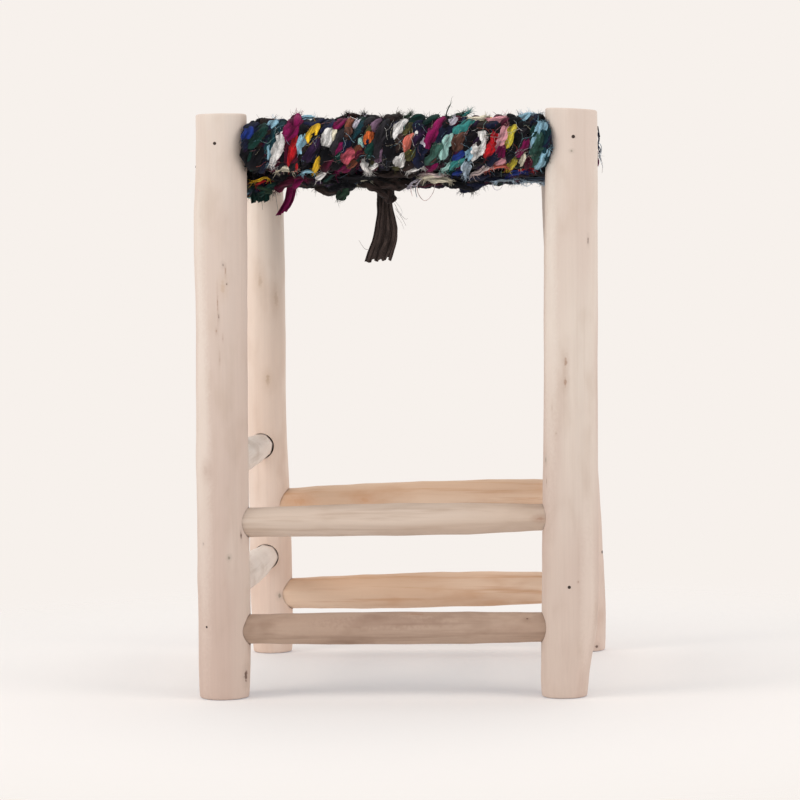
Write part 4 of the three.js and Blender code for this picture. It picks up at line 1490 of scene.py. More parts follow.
SCRAPS = tuple(Scrap(*row) for row in (
    (Rag.NAVY, -115, 10.5, -105, 17, 3.5, -2),
    (Rag.ROYAL, -114, 5, -110.5, 14.5, 3.2, -0.6),
    (Rag.BLACK, -113, -14.5, -112, 4, 2.8, -2, 18, 14),
    (Rag.BOTTLE, -112, -0.5, -98.5, 16, 4.4),
    (Rag.DARK_BROWN, -103.5, 18, -95.5, 20.5, 2.6),
    (Rag.BLACK, -109.5, -16.5, -100, -1, 4.3, -1.6),
    (Rag.LIGHT_BLUE, -96.5, 13.5, -92.5, 20, 2.6, -0.6, 2, 10),
    (Rag.DARK_TEAL, -98.5, -8, -86.5, 17.5, 3.8, -1.8),
    (Rag.LIGHT_BLUE, -96.5, -11.5, -92.5, 6, 1.8, -0.6, 6),
    (Rag.WHITE, -94.5, -13.5, -87, 10.5, 3.9, -0.4, 18, 6),
    (Rag.BLACK, -88, -15.5, -83.5, 1, 3, -1.4),
    (Rag.MAGENTA, -85.5, 3, -77, 20, 4.6),
    (Rag.MAGENTA, -77.5, 15, -77.5, 23.5, 4.4, 2, 2, 8),
    (Rag.MAROON, -83, -14.5, -80.5, 5.5, 2.8, -1.2),
    (Rag.RED, -79, -18, -74.5, 8, 3.3),
    (Rag.CREAM, -92, -18.5, -80, -18, 2.2, -0.4, 12, 10),
    (Rag.BLACK, -73.5, 0, -66, 17.5, 3.2, -1.4),
    (Rag.LIGHT_BLUE, -73.5, -8.5, -68, 9, 3.1),
    (Rag.LIGHT_BLUE, -76, 20, -65, 21.5, 2, 3, 8, 8),
    (Rag.NAVY, -71, 16, -57, 20, 3.4, -0.6),
    (Rag.YELLOW, -64.5, 0.5, -60.5, 16, 3.4),
    (Rag.PURPLE, -69, -12, -58, 5, 3.9, -1.6),
    (Rag.YELLOW, -64.5, -19.5, -58.5, -9, 2.4, -0.6, 6),
    (Rag.LIGHT_BLUE, -73.5, -19.5, -65, -19.5, 1.5, 0, 6, 6),
    (Rag.NAVY, -57, 8, -50.5, 19.5, 3.4, -1.4),
    (Rag.WHITE, -55.5, -1, -50, 12.5, 3.7),
    (Rag.CREAM, -49.5, -0.5, -48, 12, 1.9, -0.8, 6),
    (Rag.BLACK, -59.5, -14.5, -49.5, -2, 3.8, -1.6),
    (Rag.MAROON, -57, -19.5, -49.5, -9, 3.2, -1.4),
    (Rag.MAGENTA, -49, 12.5, -40.5, 19.5, 3.4),
    (Rag.CHARCOAL, -48, -9, -39.5, 11, 3.8, -1.6),
    (Rag.BROWN, -39, 3.5, -37.5, 13.5, 2.7),
    (Rag.RUST, -38.5, 11.5, -36.5, 20, 2.6, -0.6),
    (Rag.LILAC, -33.5, 12.5, -27, 20.5, 2, -0.2),
    (Rag.DARK_TEAL, -33, 3, -26.5, 16.5, 3.4, -1.2),
    (Rag.MINT, -28.5, -2.5, -29.5, 7.5, 2.4),
    (Rag.CHARCOAL, -27, 6, -19.5, 19.5, 3.6, -1.6),
    (Rag.ORANGE, -24.5, -1.5, -21, 9, 2.9, -0.5, 5, 5),
    (Rag.MAGENTA, -48.5, -8.5, -42.5, 2, 2.9),
    (Rag.NAVY, -42.5, -7, -36.5, 3.5, 2.8, -1.6),
    (Rag.ROSE, -42, -12, -33, -4.5, 4.1),
    (Rag.RUST, -33, -9.5, -28, 0, 2.7, -0.8),
    (Rag.BLACK, -49.5, -18, -42.5, -12, 3.2, -1.6),
    (Rag.MAGENTA, -47, -20, -34.5, -15.5, 2.8, -0.6, 8, 8),
    (Rag.RUST, -40.5, -18, -32, -11.5, 2.8, -0.2, 8, 4),
    (Rag.WHITE, -24.5, -20, -26.5, -14, 2.4, 0.2, 20, 14),
    (Rag.WHITE, -22.5, -17.5, -16.5, -14.5, 2.2, 0, 8, 10),
    (Rag.WHITE, -22, -11.5, -23.5, -8, 1.3, -0.2),
    (Rag.BOTTLE, -24, -10, -16.5, 5, 3.9, -1.6),
    (Rag.CHARCOAL, -20, -11.5, -9, 17.5, 4.3, -1.3),
    (Rag.MAUVE, -19.5, 9.5, -14, 18.5, 3),
    (Rag.MAUVE, -16.5, -14, -12, -0.5, 2.6, -0.6),
    (Rag.BLACK, -11.5, -15.5, -4.5, 11, 4.3, -1.3),
    (Rag.DARK_BROWN, -10, 18, 1, 20.5, 3.4, 0.4, 6, 6),
    (Rag.WHITE, -6, 3, 4.5, 17.5, 3.2, -0.5, 10),
    (Rag.DARK_BROWN, -4.5, -5.5, 4, 7, 3.6, -1.7),
    (Rag.WHITE, -2, -16.5, 3, -7, 3.2),
    (Rag.DARK_BROWN, 1, -19.5, 8, -12, 3.4, -1.4),
    (Rag.OLIVE, 4, 5, 11, 15.5, 3.2, -1.3),
    (Rag.CREAM, 4, -5, 8.5, 5.5, 1.6, -0.8),
    (Rag.CORAL, 5, -7, 11, 8, 2.7),
    (Rag.WHITE, 11.5, 2, 14, 11.5, 1.8, -0.6),
    (Rag.OLIVE, 5.5, -12, 11, -4.5, 3),
    (Rag.MUSTARD, 8.5, -9.5, 11, -5.5, 1.3, -0.2),
    (Rag.BOTTLE, 8.5, 18, 17, 20.5, 3.3, 0.6, 6, 8),
    (Rag.PURPLE, 12, -4.5, 19, 12.5, 3.2, -1.4),
    (Rag.NAVY, 10, -18, 18.5, 0, 3.9, -1.5),
    (Rag.WHITE, 5, -20, 15, -18, 1.5, 0.4, 14, 14),
    (Rag.LILAC, 15, -11, 18, 4.5, 1.8, -0.6),
    (Rag.BOTTLE, 18.5, 14, 28, 20, 3.4),
    (Rag.MAGENTA, 21, -5, 33, 18, 3.9),
    (Rag.GREEN, 21, -15.5, 31, 2.5, 4),
    (Rag.MAGENTA, 20, -20, 29, -16, 2.6, 0, 8, 10),
    (Rag.NAVY, 29, -5, 39, 14.5, 3.6, -1.5),
    (Rag.BLACK, 27.5, -17, 34.5, -11, 2.6, -1.4),
    (Rag.MINT, 32.5, -13, 39, 6.5, 2.8, -0.6, 6, 3),
    (Rag.MINT, 31, -20, 37.5, -15.5, 2.2, -0.6, 8, 8),
    (Rag.LILAC, 36, 14, 41.5, 18.5, 2.2, -0.4, 2, 8),
    (Rag.TEAL, 41.5, 5.5, 53.5, 16.5, 3.6),
    (Rag.BROWN, 41, -5.5, 48.5, 7, 3.5, -0.8),
    (Rag.ROYAL, 40, -13.5, 47, -6, 3, -0.8),
    (Rag.TEAL, 37, -19.5, 48, -12, 2.9, -0.6, 10, 4),
    (Rag.BLACK, 47, -2.5, 57, 8.5, 3.2, -1.2),
    (Rag.LIGHT_BLUE, 49, -13.5, 52.5, -2, 2.4, -0.7),
    (Rag.BLACK, 54, -18.5, 61.5, -11.5, 3.5, -1.4),
    (Rag.WHITE, 54, -13, 63, 8, 3.9, -0.9, 2, 8),
    (Rag.DARK_BROWN, 57.5, 10, 64, 15, 3),
    (Rag.NAVY, 65, 9.5, 72, 15.5, 3.2),
    (Rag.CREAM, 52, 18, 64, 19.5, 2, 0, 8, 10),
    (Rag.RED, 63, -11, 71.5, 8.5, 3.2),
    (Rag.NAVY, 64.5, -18.5, 72, -8, 3.4, -1.4),
    (Rag.PINK, 70, -6, 78, 11.5, 3, -0.9, 8, 6),
    (Rag.MAGENTA, 73.5, -12, 76.5, -2, 2.5, -0.4),
    (Rag.PINK, 70.5, -16.5, 78, -12, 2.2, -0.4, 10, 8),
    (Rag.CORAL, 64.5, -20, 78, -18, 1.8, 0.2, 10, 12),
    (Rag.PINK, 66, 17, 79.5, 18.5, 2.4, 0.2, 10, 12),
    (Rag.MAROON, 72.5, 11, 81, 16.5, 2.8, -0.8),
    (Rag.BLACK, 81, 12, 89, 17.5, 3),
    (Rag.MUSTARD, 79, -4, 86.5, 12, 3.1, -0.8, 6, 6),
    (Rag.BLACK, 79, -14, 85, -4.5, 3.2, -1.4),
    (Rag.MUSTARD, 80, -20, 84.5, -12.5, 2.1, -0.4, 8, 3),
    (Rag.BLACK, 85, 1, 95.5, 13.5, 3.5, -1.3),
    (Rag.MAGENTA, 86.5, -11, 95, 1.5, 2.7, -0.9),
    (Rag.CREAM, 88.5, -19, 91.5, -9, 1.6, -0.5),
    (Rag.MAROON, 92, -19.5, 97, -10.5, 2.8, -1.2),
    (Rag.LIGHT_BLUE, 89.5, 16.5, 95, 20.5, 2.7, 0.4, 4, 14),
    (Rag.LIGHT_BLUE, 97.5, -6, 103, 14, 2.9),
    (Rag.LIGHT_BLUE, 103, 6, 107, 13.5, 2.1, -0.6),
    (Rag.GREEN, 98.5, -17.5, 107, 6.5, 4, -1.2),
    (Rag.LIGHT_BLUE, 101, -20, 108.5, -6, 2.8, -0.5, 5, 8),
    (Rag.DARK_TEAL, 106, -18, 107, 14, 3.2, -1.6, 8, 8),
    (Rag.CHARCOAL, 108.5, -12, 108.5, 9, 2, -3, 14, 14),
    (Rag.BLACK, -48, 18, -42, 22, 2.2, -3, 12, 26),
    (Rag.DARK_BROWN, -25, 19, -38, 23, 2, -4, 10, 34),
    (Rag.CHARCOAL, -15, 19, -27, 23, 2, -4, 10, 30),
    (Rag.OLIVE, -12, 19, -3, 22, 2.2, -5, 14, 26),
    (Rag.FOREST, -4, 19, 6, 22.5, 2.2, -5, 12, 26),
    (Rag.FOREST, 33.5, 20, 37, 30, 0.5, -5, 0, 1),
    (Rag.FOREST, 36, 19, 45, 22, 2.2, -5, 14, 24),
    (Rag.TEAL, 47, 19, 49.5, 23.5, 1.6, -5, 6, 18),
    (Rag.ICE, 90, 21, 102, 20, 1.6, -3, 16, 22),
    (Rag.SLATE, 109.5, -14, 109.5, 12, 1.2, -4, 22, 22),
    (Rag.BLACK, -111, -23, -92, -24, 4, -10, 4, 4),
    (Rag.CHARCOAL, -95, -22.5, -72, -22, 3.8, -10, 4, 4),
    (Rag.BLACK, -76, -22, -46, -23, 4, -10, 4, 4),
    (Rag.CHARCOAL, -50, -24, -19, -23, 4, -10, 4, 4),
    (Rag.DARK_BROWN, -20, -22, 12, -22.5, 4, -9, 4, 4),
    (Rag.CHARCOAL, 8, -21, 34, -23, 3.6, -10, 4, 4),
    (Rag.BLACK, 28, -23, 52, -26.5, 4.2, -9, 4, 6),
    (Rag.NAVY, 46, -27, 66, -23, 4.2, -9, 6, 6),
    (Rag.BLACK, 60, -23, 86, -24.5, 3.6, -10, 6, 6),
    (Rag.DARK_BROWN, 78, -22.5, 100, -22, 3.2, -9, 6, 6),
    (Rag.CHARCOAL, 90, -24, 108, -23.5, 3.4, -10, 6, 6),
    (Rag.NAVY, -110, -33, -98, -25, 3.6, -13, 10),
    (Rag.YELLOW, -110, -25.5, -101, -23, 1.1, -4, 6, 6),
    (Rag.RED, -109, -28.5, -102, -26, 1, -6, 4, 4),
    (Rag.BOTTLE, -108, -36.5, -96, -27, 3.4, -12, 10),
    (Rag.FOREST, -109, -30, -99, -34, 2.6, -10, 8, 10),
    (Rag.MAROON, -94.5, -33, -76, -25, 4.2, -12, 8, 8),
    (Rag.MAROON, -88, -27, -70, -24, 3, -9, 8, 12),
    (Rag.MAGENTA, -81, -32, -74, -24, 2.6, -9, 6, 12),
    (Rag.WHITE, -62.5, -25, -56.5, -19.5, 2.6, 1),
    (Rag.BOTTLE, -57.5, -27, -50.5, -21.5, 2.4, -3),
    (Rag.DARK_BROWN, -65, -31.5, -49, -35, 3.6, -13, 8),
    (Rag.BLACK, -54, -34, -35, -31, 5.2, -12, 6, 10),
    (Rag.FOREST, -48, -40.5, -41, -31, 4.6, -13, 6),
    (Rag.SLATE, -37, -29, -27, -27.5, 1.1, -9, 16, 16),
    (Rag.CREAM, -32, -27, -25, -27.5, 0.9, -8, 12, 14),
    (Rag.DARK_BROWN, -12.5, -40.5, -37, -27, 4.2, -12, 0, 10),
    (Rag.DARK_BROWN, -14, -38, -23, -22, 3.6, -14, 0, 4),
    (Rag.DARK_BROWN, -10.6, -44, -9.5, -22, 3.6, -15, 0, 0),
    (Rag.UMBER, -7.5, -32, -4, -21, 3.4, -14.5, 0, 4),
    (Rag.DARK_BROWN, -4, -35, 5, -31, 1.5, -12.5, 0, 6),
    (Rag.DARK_BROWN, -24, -28, 4, -30, 5.4, -14),
    (Rag.UMBER, 9.5, -29, 15, -27, 2.2, -9, 4, 4),
    (Rag.LILAC, 5.5, -31, 12.5, -26, 0.8, -6, 14, 6),
    (Rag.CREAM, 16.5, -25.5, 34, -27.5, 3.4, -6, 26, 26),
    (Rag.SHELL, 17, -22, 30, -24, 2, -3, 16, 16),
    (Rag.ROYAL, 39.5, -24, 45.5, -20.5, 2.4, 0),
    (Rag.ICE, 47.5, -24, 50, -15, 2.6, 1, 14, 8),
    (Rag.SHELL, 52.5, -23.5, 65, -17.5, 2, 1.2, 6, 14),
    (Rag.BLACK, 30, -29, 52, -36, 4.4, -13, 6, 8),
    (Rag.NAVY, 44, -36.5, 59, -32, 4, -13, 6, 8),
    (Rag.NAVY, 60, -28.5, 80, -29, 1.8, -13, 16, 14),
    (Rag.SLATE, 90, -28.5, 108, -28, 1.4, -13, 20, 22),
    (Rag.ICE, 70, -29.5, 82, -29, 0.9, -11, 16, 16),
    (Rag.ICE, 92, -29.5, 104, -30, 0.9, -11, 18, 18),
    (Rag.RED, 84, -21.5, 96, -20, 1.2, 0.4, 12, 12),
    (Rag.ROYAL, 81, -24.5, 90.5, -22, 2.4, -1, 8, 8),
))


@dataclass(frozen=True)
class LooseThread:
    """One long thread that has worked loose, through knots given as for a scrap."""

    rag: Rag
    radius: float
    lift: float
    knots: tuple[tuple[float, float], ...]


LOOSE_THREADS = tuple(LooseThread(*row) for row in (
    (Rag.SHELL, 0.42, -8, ((10.8, -25.7), (11.5, -37.1), (16.7, -43.3), (22.6, -37.4), (24.8, -27.6))),
    (Rag.LILAC, 0.35, -5, ((5.6, -30.9), (10, -31.8), (13.7, -27.3), (18.9, -22), (17.4, -16))),
    (Rag.SHELL, 0.50, -8, ((6.5, -31), (6.3, -35), (7.3, -40))),
    (Rag.SLATE, 0.45, -8, ((9.8, -31), (9.8, -36), (10.8, -40.9))),
    (Rag.UMBER, 0.18, -30, ((-8.3, -44.3), (-4.7, -51.3), (-0.2, -56.8), (2, -56.1))),
    (Rag.UMBER, 0.18, -30, ((-7.6, -48.2), (-3.9, -53.7), (-1, -59.1), (0.4, -62.3))),
    (Rag.SLATE, 0.12, -30, ((-8.3, -42), (-4.6, -46.7), (-2.4, -51.4), (-4, -55.2))),
    (Rag.UMBER, 0.12, -30, ((-7, -53.6), (-3.3, -59.1), (-1.1, -65.3))),
    (Rag.UMBER, 0.18, -30, ((-26, -80.4), (-30.8, -79.5), (-33.7, -75.6), (-35.5, -72.5))),
    (Rag.LILAC, 0.30, -13, ((66, -29), (68, -35), (72, -35.5), (76, -30))),
    (Rag.ICE, 0.30, -13, ((86, -29), (92, -33.5), (98, -30.5), (104, -33.5), (108, -29))),
    (Rag.NAVY, 0.9, -93, ((143.8, 9), (145, 4), (144.2, -2), (145.6, -8))),
    (Rag.CHARCOAL, 0.8, -93, ((143.6, 14), (144.6, 9), (145.6, 5))),
    (Rag.SLATE, 0.6, -93, ((144, -1), (146, -5), (145, -10), (146.4, -14))),
    (Rag.ICE, 0.35, -93, ((143.8, 2), (146.8, -3), (145.8, -12), (147.6, -19))),
    (Rag.WHITE, 0.30, -93, ((143.8, -6), (146.2, -11), (147.2, -17), (146.4, -23))),
    (Rag.BLACK, 0.16, -13, ((-107.9, -35), (-106.1, -43), (-105.7, -48.3))),
    (Rag.BLACK, 0.14, -13, ((-96.1, -33), (-94.7, -44.8), (-93.6, -54))),
    (Rag.NAVY, 0.14, -2, ((-103.5, 18), (-105.7, 22), (-107.9, 25.3))),
    (Rag.MAGENTA, 0.16, -8, ((-50.5, -22), (-47.7, -29), (-45.4, -35.5))),
))


def smooth_curve(knots: Array, shares: Array) -> Array:
    """Draw a smooth curve through a few knots.

    Args:
        knots: one row for each knot, evenly spaced along the curve.
        shares: places on it, from 0 at the first knot to 1 at the last.

    Returns:
        One row for each place.
    """
    place = shares * (len(knots) - 1)
    number = np.minimum(place.astype(int), len(knots) - 2)
    rest = (place - number)[:, None]
    padded = np.vstack([2.0 * knots[0] - knots[1], knots, 2.0 * knots[-1] - knots[-2]])
    before, start, stop, after = (padded[number + step] for step in range(4))
    bend = 2.0 * before - 5.0 * start + 4.0 * stop - after
    twist = 3.0 * (start - stop) + after - before
    return start + 0.5 * rest * (stop - before + rest * (bend + rest * twist))


@dataclass
class Fringe(Skins):
    """Loose threads that stand off the rags."""

    sides: int = 3
    joints: int = 6
    root_depth: float = 0.3 * MM
    seed: int = 77

    def add(self, root: Array, aim: Array, length: float, thick: float, tone: Array,
            draw: np.random.Generator) -> None:
        """Add one curling thread.

        Args:
            root: where it starts.
            aim: unit direction in which it starts.
            length: its length.
            thick: its radius.
            tone: its linear colour.
            draw: source of chance.
        """
        curl = draw.normal(size=3) * 0.55
        fall = np.array([0.0, 0.0, -0.12])
        heading = aim.copy()
        points = [root]
        step = length / (self.joints - 1)
        for _ in range(self.joints - 1):
            points.append(points[-1] + heading * step)
            heading = unit(heading + curl * 0.45 + fall + draw.normal(size=3) * 0.12)
        self.add_line(np.array(points), thick, tone)

    def add_line(self, points: Array, thick: float, tone: Array) -> None:
        """Add a thread along points.

        Args:
            points: its points.
            thick: its radius.
            tone: its linear colour.
        """
        tangent = unit(np.gradient(points, axis=0))
        helper = (0.31, 0.22, 0.93) if abs(tangent[0][2]) < 0.8 else (0.93, 0.31, 0.22)
        first = unit(np.cross(tangent, helper))
        taper = np.concatenate([[0.0], np.linspace(1.0, 0.55, len(points) - 2), [0.0]])[:, None] * thick
        angles = directions(self.sides)
        second = np.cross(tangent, first)
        rings = rings_round(points, first, second, taper * np.cos(angles), taper * np.sin(angles))
        self.keep(rings, np.broadcast_to(tone, rings.shape), rings / MM)

    def add_fuzz(self, plies: list[tuple[RagRope, int, Rings, Rings]], count: int) -> None:
        """Stand short threads off the plies, where their own surface faces out.

        Args:
            plies: for each ply its rope, its number, its rings and its colours.
            count: how many threads for each ply.
        """
        draw = np.random.default_rng(self.seed)
        bare_ends, crest_reach, near_weight, crest_weight = 6, 20.0 * MM, 2.2, 5.0
        for rope, number, rings, tones in plies:
            winding = rope.winding
            near = winding.near_rail.centre_at(winding.points[:, 0])
            crest = (winding.outward[:, 2] > 0.6) & (np.abs(winding.points[:, 1] - near[:, 1]) < crest_reach)
            weight = np.where(winding.stretch == Stretch.NEAR_ARC.value, near_weight, 1.0)
            weight = np.where(crest, crest_weight, weight)
            weight = weight * np.clip(np.cos(rope.twist + number * np.pi) + 0.35, 0.02, 1.0)
            weight[:bare_ends] = 0.0
            weight[-bare_ends:] = 0.0
            for ring in draw.choice(len(rings), size=count, p=weight / weight.sum()):
                side = draw.integers(0, rings.shape[1])
                out = unit(rings[ring, side] - winding.points[ring])
                if out @ winding.outward[ring] < 0.1:
                    continue
                aim = unit(out + draw.normal(size=3) * 0.7)
                length = draw.uniform(2.5, 7.0) * MM
                tone = tones[ring, side] * draw.uniform(0.8, 1.5)
                root = rings[ring, side] - out * self.root_depth
                self.add(root, aim, length, draw.uniform(0.10, 0.2) * MM, tone, draw)


@dataclass
class RagPile(Skins):
    """Torn rags that lie on the wraps of the front rail and hang below them."""

    rail: Timber
    round_radius: float = 20.2 * MM
    plump: float = 1.25
    flatness: float = 0.62
    most_thick: float = 3.6 * MM
    tuck: float = 2.6 * MM
    rings: int = 30
    sides: int = 18
    seed: int = 300

    def spots(self, places: Array, heights: Array, lift: Array) -> tuple[Array, Array]:
        """Give points on the round of the wraps, or below it.

        Args:
            places: places along the rail.
            heights: heights above its axis.
            lift: how far the points stand proud.

        Returns:
            Points and outward directions.
        """
        depth = np.sqrt(np.maximum(self.round_radius ** 2 - heights ** 2, 0.0)) + lift
        level = np.zeros_like(depth)
        points = self.rail.centre_at(places) + np.column_stack([level, -depth, heights])
        return points, unit(np.column_stack([level, -np.maximum(depth, 0.0) - 5.0 * MM, heights]))

    def add(self, number: int, scrap: Scrap, fringe: Fringe) -> None:
        """Add one rag and its loose threads.

        Args:
            number: which rag of the pile it is.
            scrap: the rag.
            fringe: where its threads go.
        """
        draw = np.random.default_rng(self.seed + number)
        share = np.linspace(0.0, 1.0, self.rings)
        start = np.array([along_rail(scrap.start_place), scrap.start_height * MM])
        line = np.array([along_rail(scrap.stop_place), scrap.stop_height * MM]) - start
        overlap_share = 0.06
        start, line = start - overlap_share * line, (1.0 + 2.0 * overlap_share) * line
        length = np.linalg.norm(line)
        square = np.array([-line[1], line[0]]) / length
        bow = np.sin(np.pi * share) * draw.uniform(-0.09, 0.09) * length
        bow = bow + 0.35 * MM * wander(share * length, self.seed + number, 0.012)
        route = start + share[:, None] * line + bow[:, None] * square
        ends = np.abs(2.0 * share - 1.0)
        points, outward = self.spots(route[:, 0], route[:, 1], scrap.lift * MM - self.tuck * ends ** 3)
        tangent, outward, sideways = frame_along(points, outward)
        along = share * length
        angles = directions(self.sides)
        fold = crumple(along + 0.37 * number, angles, self.seed + 5 * number, 1.5)
        swell = (1.0 - ends ** 3.4) ** 0.5 * (1.0 + 0.12 * wander(along, self.seed + number + 900, 0.014))
        wide = scrap.half_width * self.plump * MM * swell
        thick = np.minimum(wide * self.flatness, self.most_thick)
        rings = rings_round(points, outward, sideways, thick[:, None] * fold * np.cos(angles),
                            wide[:, None] * fold * np.sin(angles))
        # Painted shade: darker in the fold valleys and lighter on the ridges, times a random tone for each
        # rag
        shade = np.clip(1.0 + 2.2 * (fold - 1.0), 0.42, 1.25) * draw.uniform(0.76, 1.02)
        shade = shade * (1.0 + 0.10 * wander(along, self.seed + number + 1800, 0.01))[:, None]
        tone = scrap.rag.light
        self.keep(rings, shade[:, :, None] * tone, lay_round(angles, along, 17.0 * number))
        for count, ring, way in ((scrap.start_threads, 3, -1.0), (scrap.stop_threads, self.rings - 4, 1.0)):
            for _ in range(3 * count):
                root = points[ring] + sideways[ring] * wide[ring] * draw.uniform(-0.9, 0.9)
                aim = unit(way * tangent[ring] + 0.3 * outward[ring] + draw.normal(size=3) * 0.4)
                fringe.add(root, aim, draw.uniform(3.0, 8.5) * MM, draw.uniform(0.08, 0.18) * MM,
                           tone * draw.uniform(0.8, 1.15), draw)
        for _ in range(int(8 + 0.8 * length / MM)):
            ring, side = draw.integers(3, self.rings - 3), draw.integers(0, self.sides)
            out = unit(rings[ring, side] - points[ring])
            if out @ outward[ring] > 0.0:
                aim = unit(out + draw.normal(size=3) * 0.6)
                fringe.add(rings[ring, side] - out * fringe.root_depth, aim, draw.uniform(1.5, 4.0) * MM,
                           draw.uniform(0.06, 0.12) * MM, tone * draw.uniform(0.9, 1.3), draw)

    def stray(self, fringe: Fringe, rags: tuple[Rag, ...], count: int) -> None:
        """Lay long loose threads over the wraps.

        Args:
            fringe: where the threads go.
            rags: rags that they come from.
            count: how many threads.
        """
        draw = np.random.default_rng(self.seed + 7)
        joints = 14
        right_end, reach, lowest, highest = 108.0, 218.0, -26.0 * MM, 19.5 * MM
        for _ in range(count):
            heading = draw.uniform(0.0, 2.0 * np.pi) + np.cumsum(draw.normal(size=joints) * 0.22)
            step = draw.uniform(0.4, 1.1) * MM
            places = (right_end - reach * draw.uniform() ** 1.4) * MM + np.cumsum(np.cos(heading)) * step
            heights = draw.uniform(-19.0, 17.0) * MM + np.cumsum(np.sin(heading)) * step
            lift = (2.2 + 0.9 * draw.normal(size=joints)) * MM
            points, _ = self.spots(places, np.clip(heights, lowest, highest), lift)
            tone = rags[draw.integers(0, len(rags))].light
            fringe.add_line(points, draw.uniform(0.08, 0.16) * MM, tone * draw.uniform(0.5, 0.9))

    def dangle(self, fringe: Fringe, thread: LooseThread) -> None:
        """Hang one long loose thread.

        Args:
            fringe: where the thread goes.
            thread: its rag and knots.
        """
        route = smooth_curve(np.array(thread.knots), np.linspace(0.0, 1.0, 18))
        lift = np.full(len(route), thread.lift * MM)
        points, _ = self.spots(along_rail(route[:, 0]), route[:, 1] * MM, lift)
        fringe.add_line(points, thread.radius * MM, thread.rag.light)


STRAY_RAGS = (Rag.WHITE, Rag.CREAM, Rag.PINK, Rag.MINT, Rag.SLATE, Rag.LIGHT_BLUE, Rag.CORAL, Rag.BROWN)


@dataclass
class RagTail:
    """A torn rag end that hangs from the underside of the seat, gathered at its neck."""

    node: str
    slot: str
    rag: Rag
    flat: tuple[float, float]
    pleats: float
    path: tuple[tuple[float, float], ...]
    spans: tuple[float, ...]
    hanging_row: float = -103.3
    slant: float = 0.0
    fold_share: float = 0.42
    tatter: float = 2.0
    columns: int = 90
    rows: int = 50
    thick: float = 0.5 * MM
    seed: int = 5

    def build(self) -> None:
        """Build the rag end."""
        bm = bmesh.new()
        bmesh.ops.create_grid(bm, x_segments=self.columns, y_segments=self.rows, size=1.0)
        colour = bm.verts.layers.float_color.new("rag")
        lay = bm.verts.layers.float_vector.new("lay")
        tone = (*linear(self.rag.value), 1.0)
        width, length = self.flat
        shares = np.array([[(vert.co.x + 1.0) / 2.0, (1.0 - vert.co.y) / 2.0] for vert in bm.verts])
        places = self.hang(shares)
        for vert, place, (across, down) in zip(bm.verts, places.tolist(), shares.tolist()):
            vert.co = place
            vert[colour] = tone
            vert[lay] = (across * width, 0.0, down * length)
        bmesh.ops.recalc_face_normals(bm, faces=bm.faces)
        piece = piece_from(bm, f"{self.node}_cloth", [RagCloth(self.slot, 0.3 * MM).dress()])
        solid = piece.modifiers.new("thickness", "SOLIDIFY")
        solid.thickness = self.thick
        solid.offset = 0.0
        settle(piece, self.slot, self.node)

    def hang(self, shares: Array) -> Array:
        """Work out where each point of the cloth hangs.

        Args:
            shares: across and down shares of each point.

        Returns:
            Points in metres.
        """
        across, down = shares[:, 0], shares[:, 1]
        width, _ = self.flat
        path = [(place, self.hanging_row, height) for place, height in self.path]
        centre = smooth_curve(np.array(path), down)
        span = smooth_curve(np.array(self.spans)[:, None], down)[:, 0]
        segment, chord = width / (2.0 * self.pleats), span / (2.0 * self.pleats)
        depth = self.fold_share * np.sqrt(np.maximum(segment ** 2 - chord ** 2, 0.0))
        uneven = across + 0.05 * np.sin(8.0 * across + self.seed) + 0.03 * np.sin(17.0 * across + 4.0 * down)
        phase = uneven * 2.0 * np.pi * self.pleats + 0.9 * np.sin(4.0 * down + self.seed)
        fan = (across - 0.5) * span + 0.3 * chord * np.sin(2.0 * phase + down * 4.0)
        crumpled = 0.25 * np.sin(phase * 2.7 + 11.0 * down)
        crumpled = crumpled + 0.18 * np.sin(phase * 4.3 - 19.0 * down + self.seed)
        fold = depth * (np.sin(phase) + 0.3 * np.sin(phase * 0.43 + 5.0 * down + self.seed)) + crumpled
        ragged = self.tatter * (down ** 6) * wander(across * width, self.seed + 3, 0.28 * width)
        fall = ragged + self.slant * (across - 0.5) * down ** 2
        return (centre + np.column_stack([fan, fold, fall])) * MM


@dataclass(frozen=True)
class Viewpoint:
    """Where the photograph was taken from, in millimetres and degrees."""

    place: Colour = (208.4, -2476.1, 348.0)
    yaw: float = 5.01
    pitch: float = 2.90
    roll: float = -0.92
    focal_px: float = 3069.0

    def build(self) -> None:
        """Make the camera."""
        yaw, pitch, roll = (math.radians(angle) for angle in (self.yaw, self.pitch, self.roll))
        ahead = Vector((-math.sin(yaw) * math.cos(pitch), math.cos(yaw) * math.cos(pitch), -math.sin(pitch)))
        level = Vector((math.cos(yaw), math.sin(yaw), 0.0))
        upright = level.cross(ahead)
        right = math.cos(roll) * level + math.sin(roll) * upright
        up = -math.sin(roll) * level + math.cos(roll) * upright
        data = bpy.data.cameras.new("camera")
        data.sensor_width = SENSOR_WIDTH
        data.lens = self.focal_px * SENSOR_WIDTH / IMAGE_SIDE_PX
        data.clip_end = 30.0
        camera = stand("camera", data)
        turn = Matrix((right, up, -ahead)).transposed().to_4x4()
        camera.matrix_world = Matrix.Translation(Vector(self.place) * MM) @ turn
        bpy.context.scene.camera = camera


@dataclass(frozen=True)
class SoftLight:
    """One large studio light."""

    name: str
    place: Colour
    target: Colour
    size: float
    power: float
    tone: Colour = (255, 250, 245)

    def build(self) -> None:
        """Make the light and aim it."""
        data = bpy.data.lights.new(self.name, "AREA")
        data.shape = "DISK"
        data.size = self.size
        data.energy = self.power
        data.color = linear(self.tone)
        line = Vector(self.target) - Vector(self.place)
        turn = line.to_track_quat("-Z", "Y").to_matrix().to_4x4()
        stand(self.name, data).matrix_world = Matrix.Translation(Vector(self.place)) @ turn


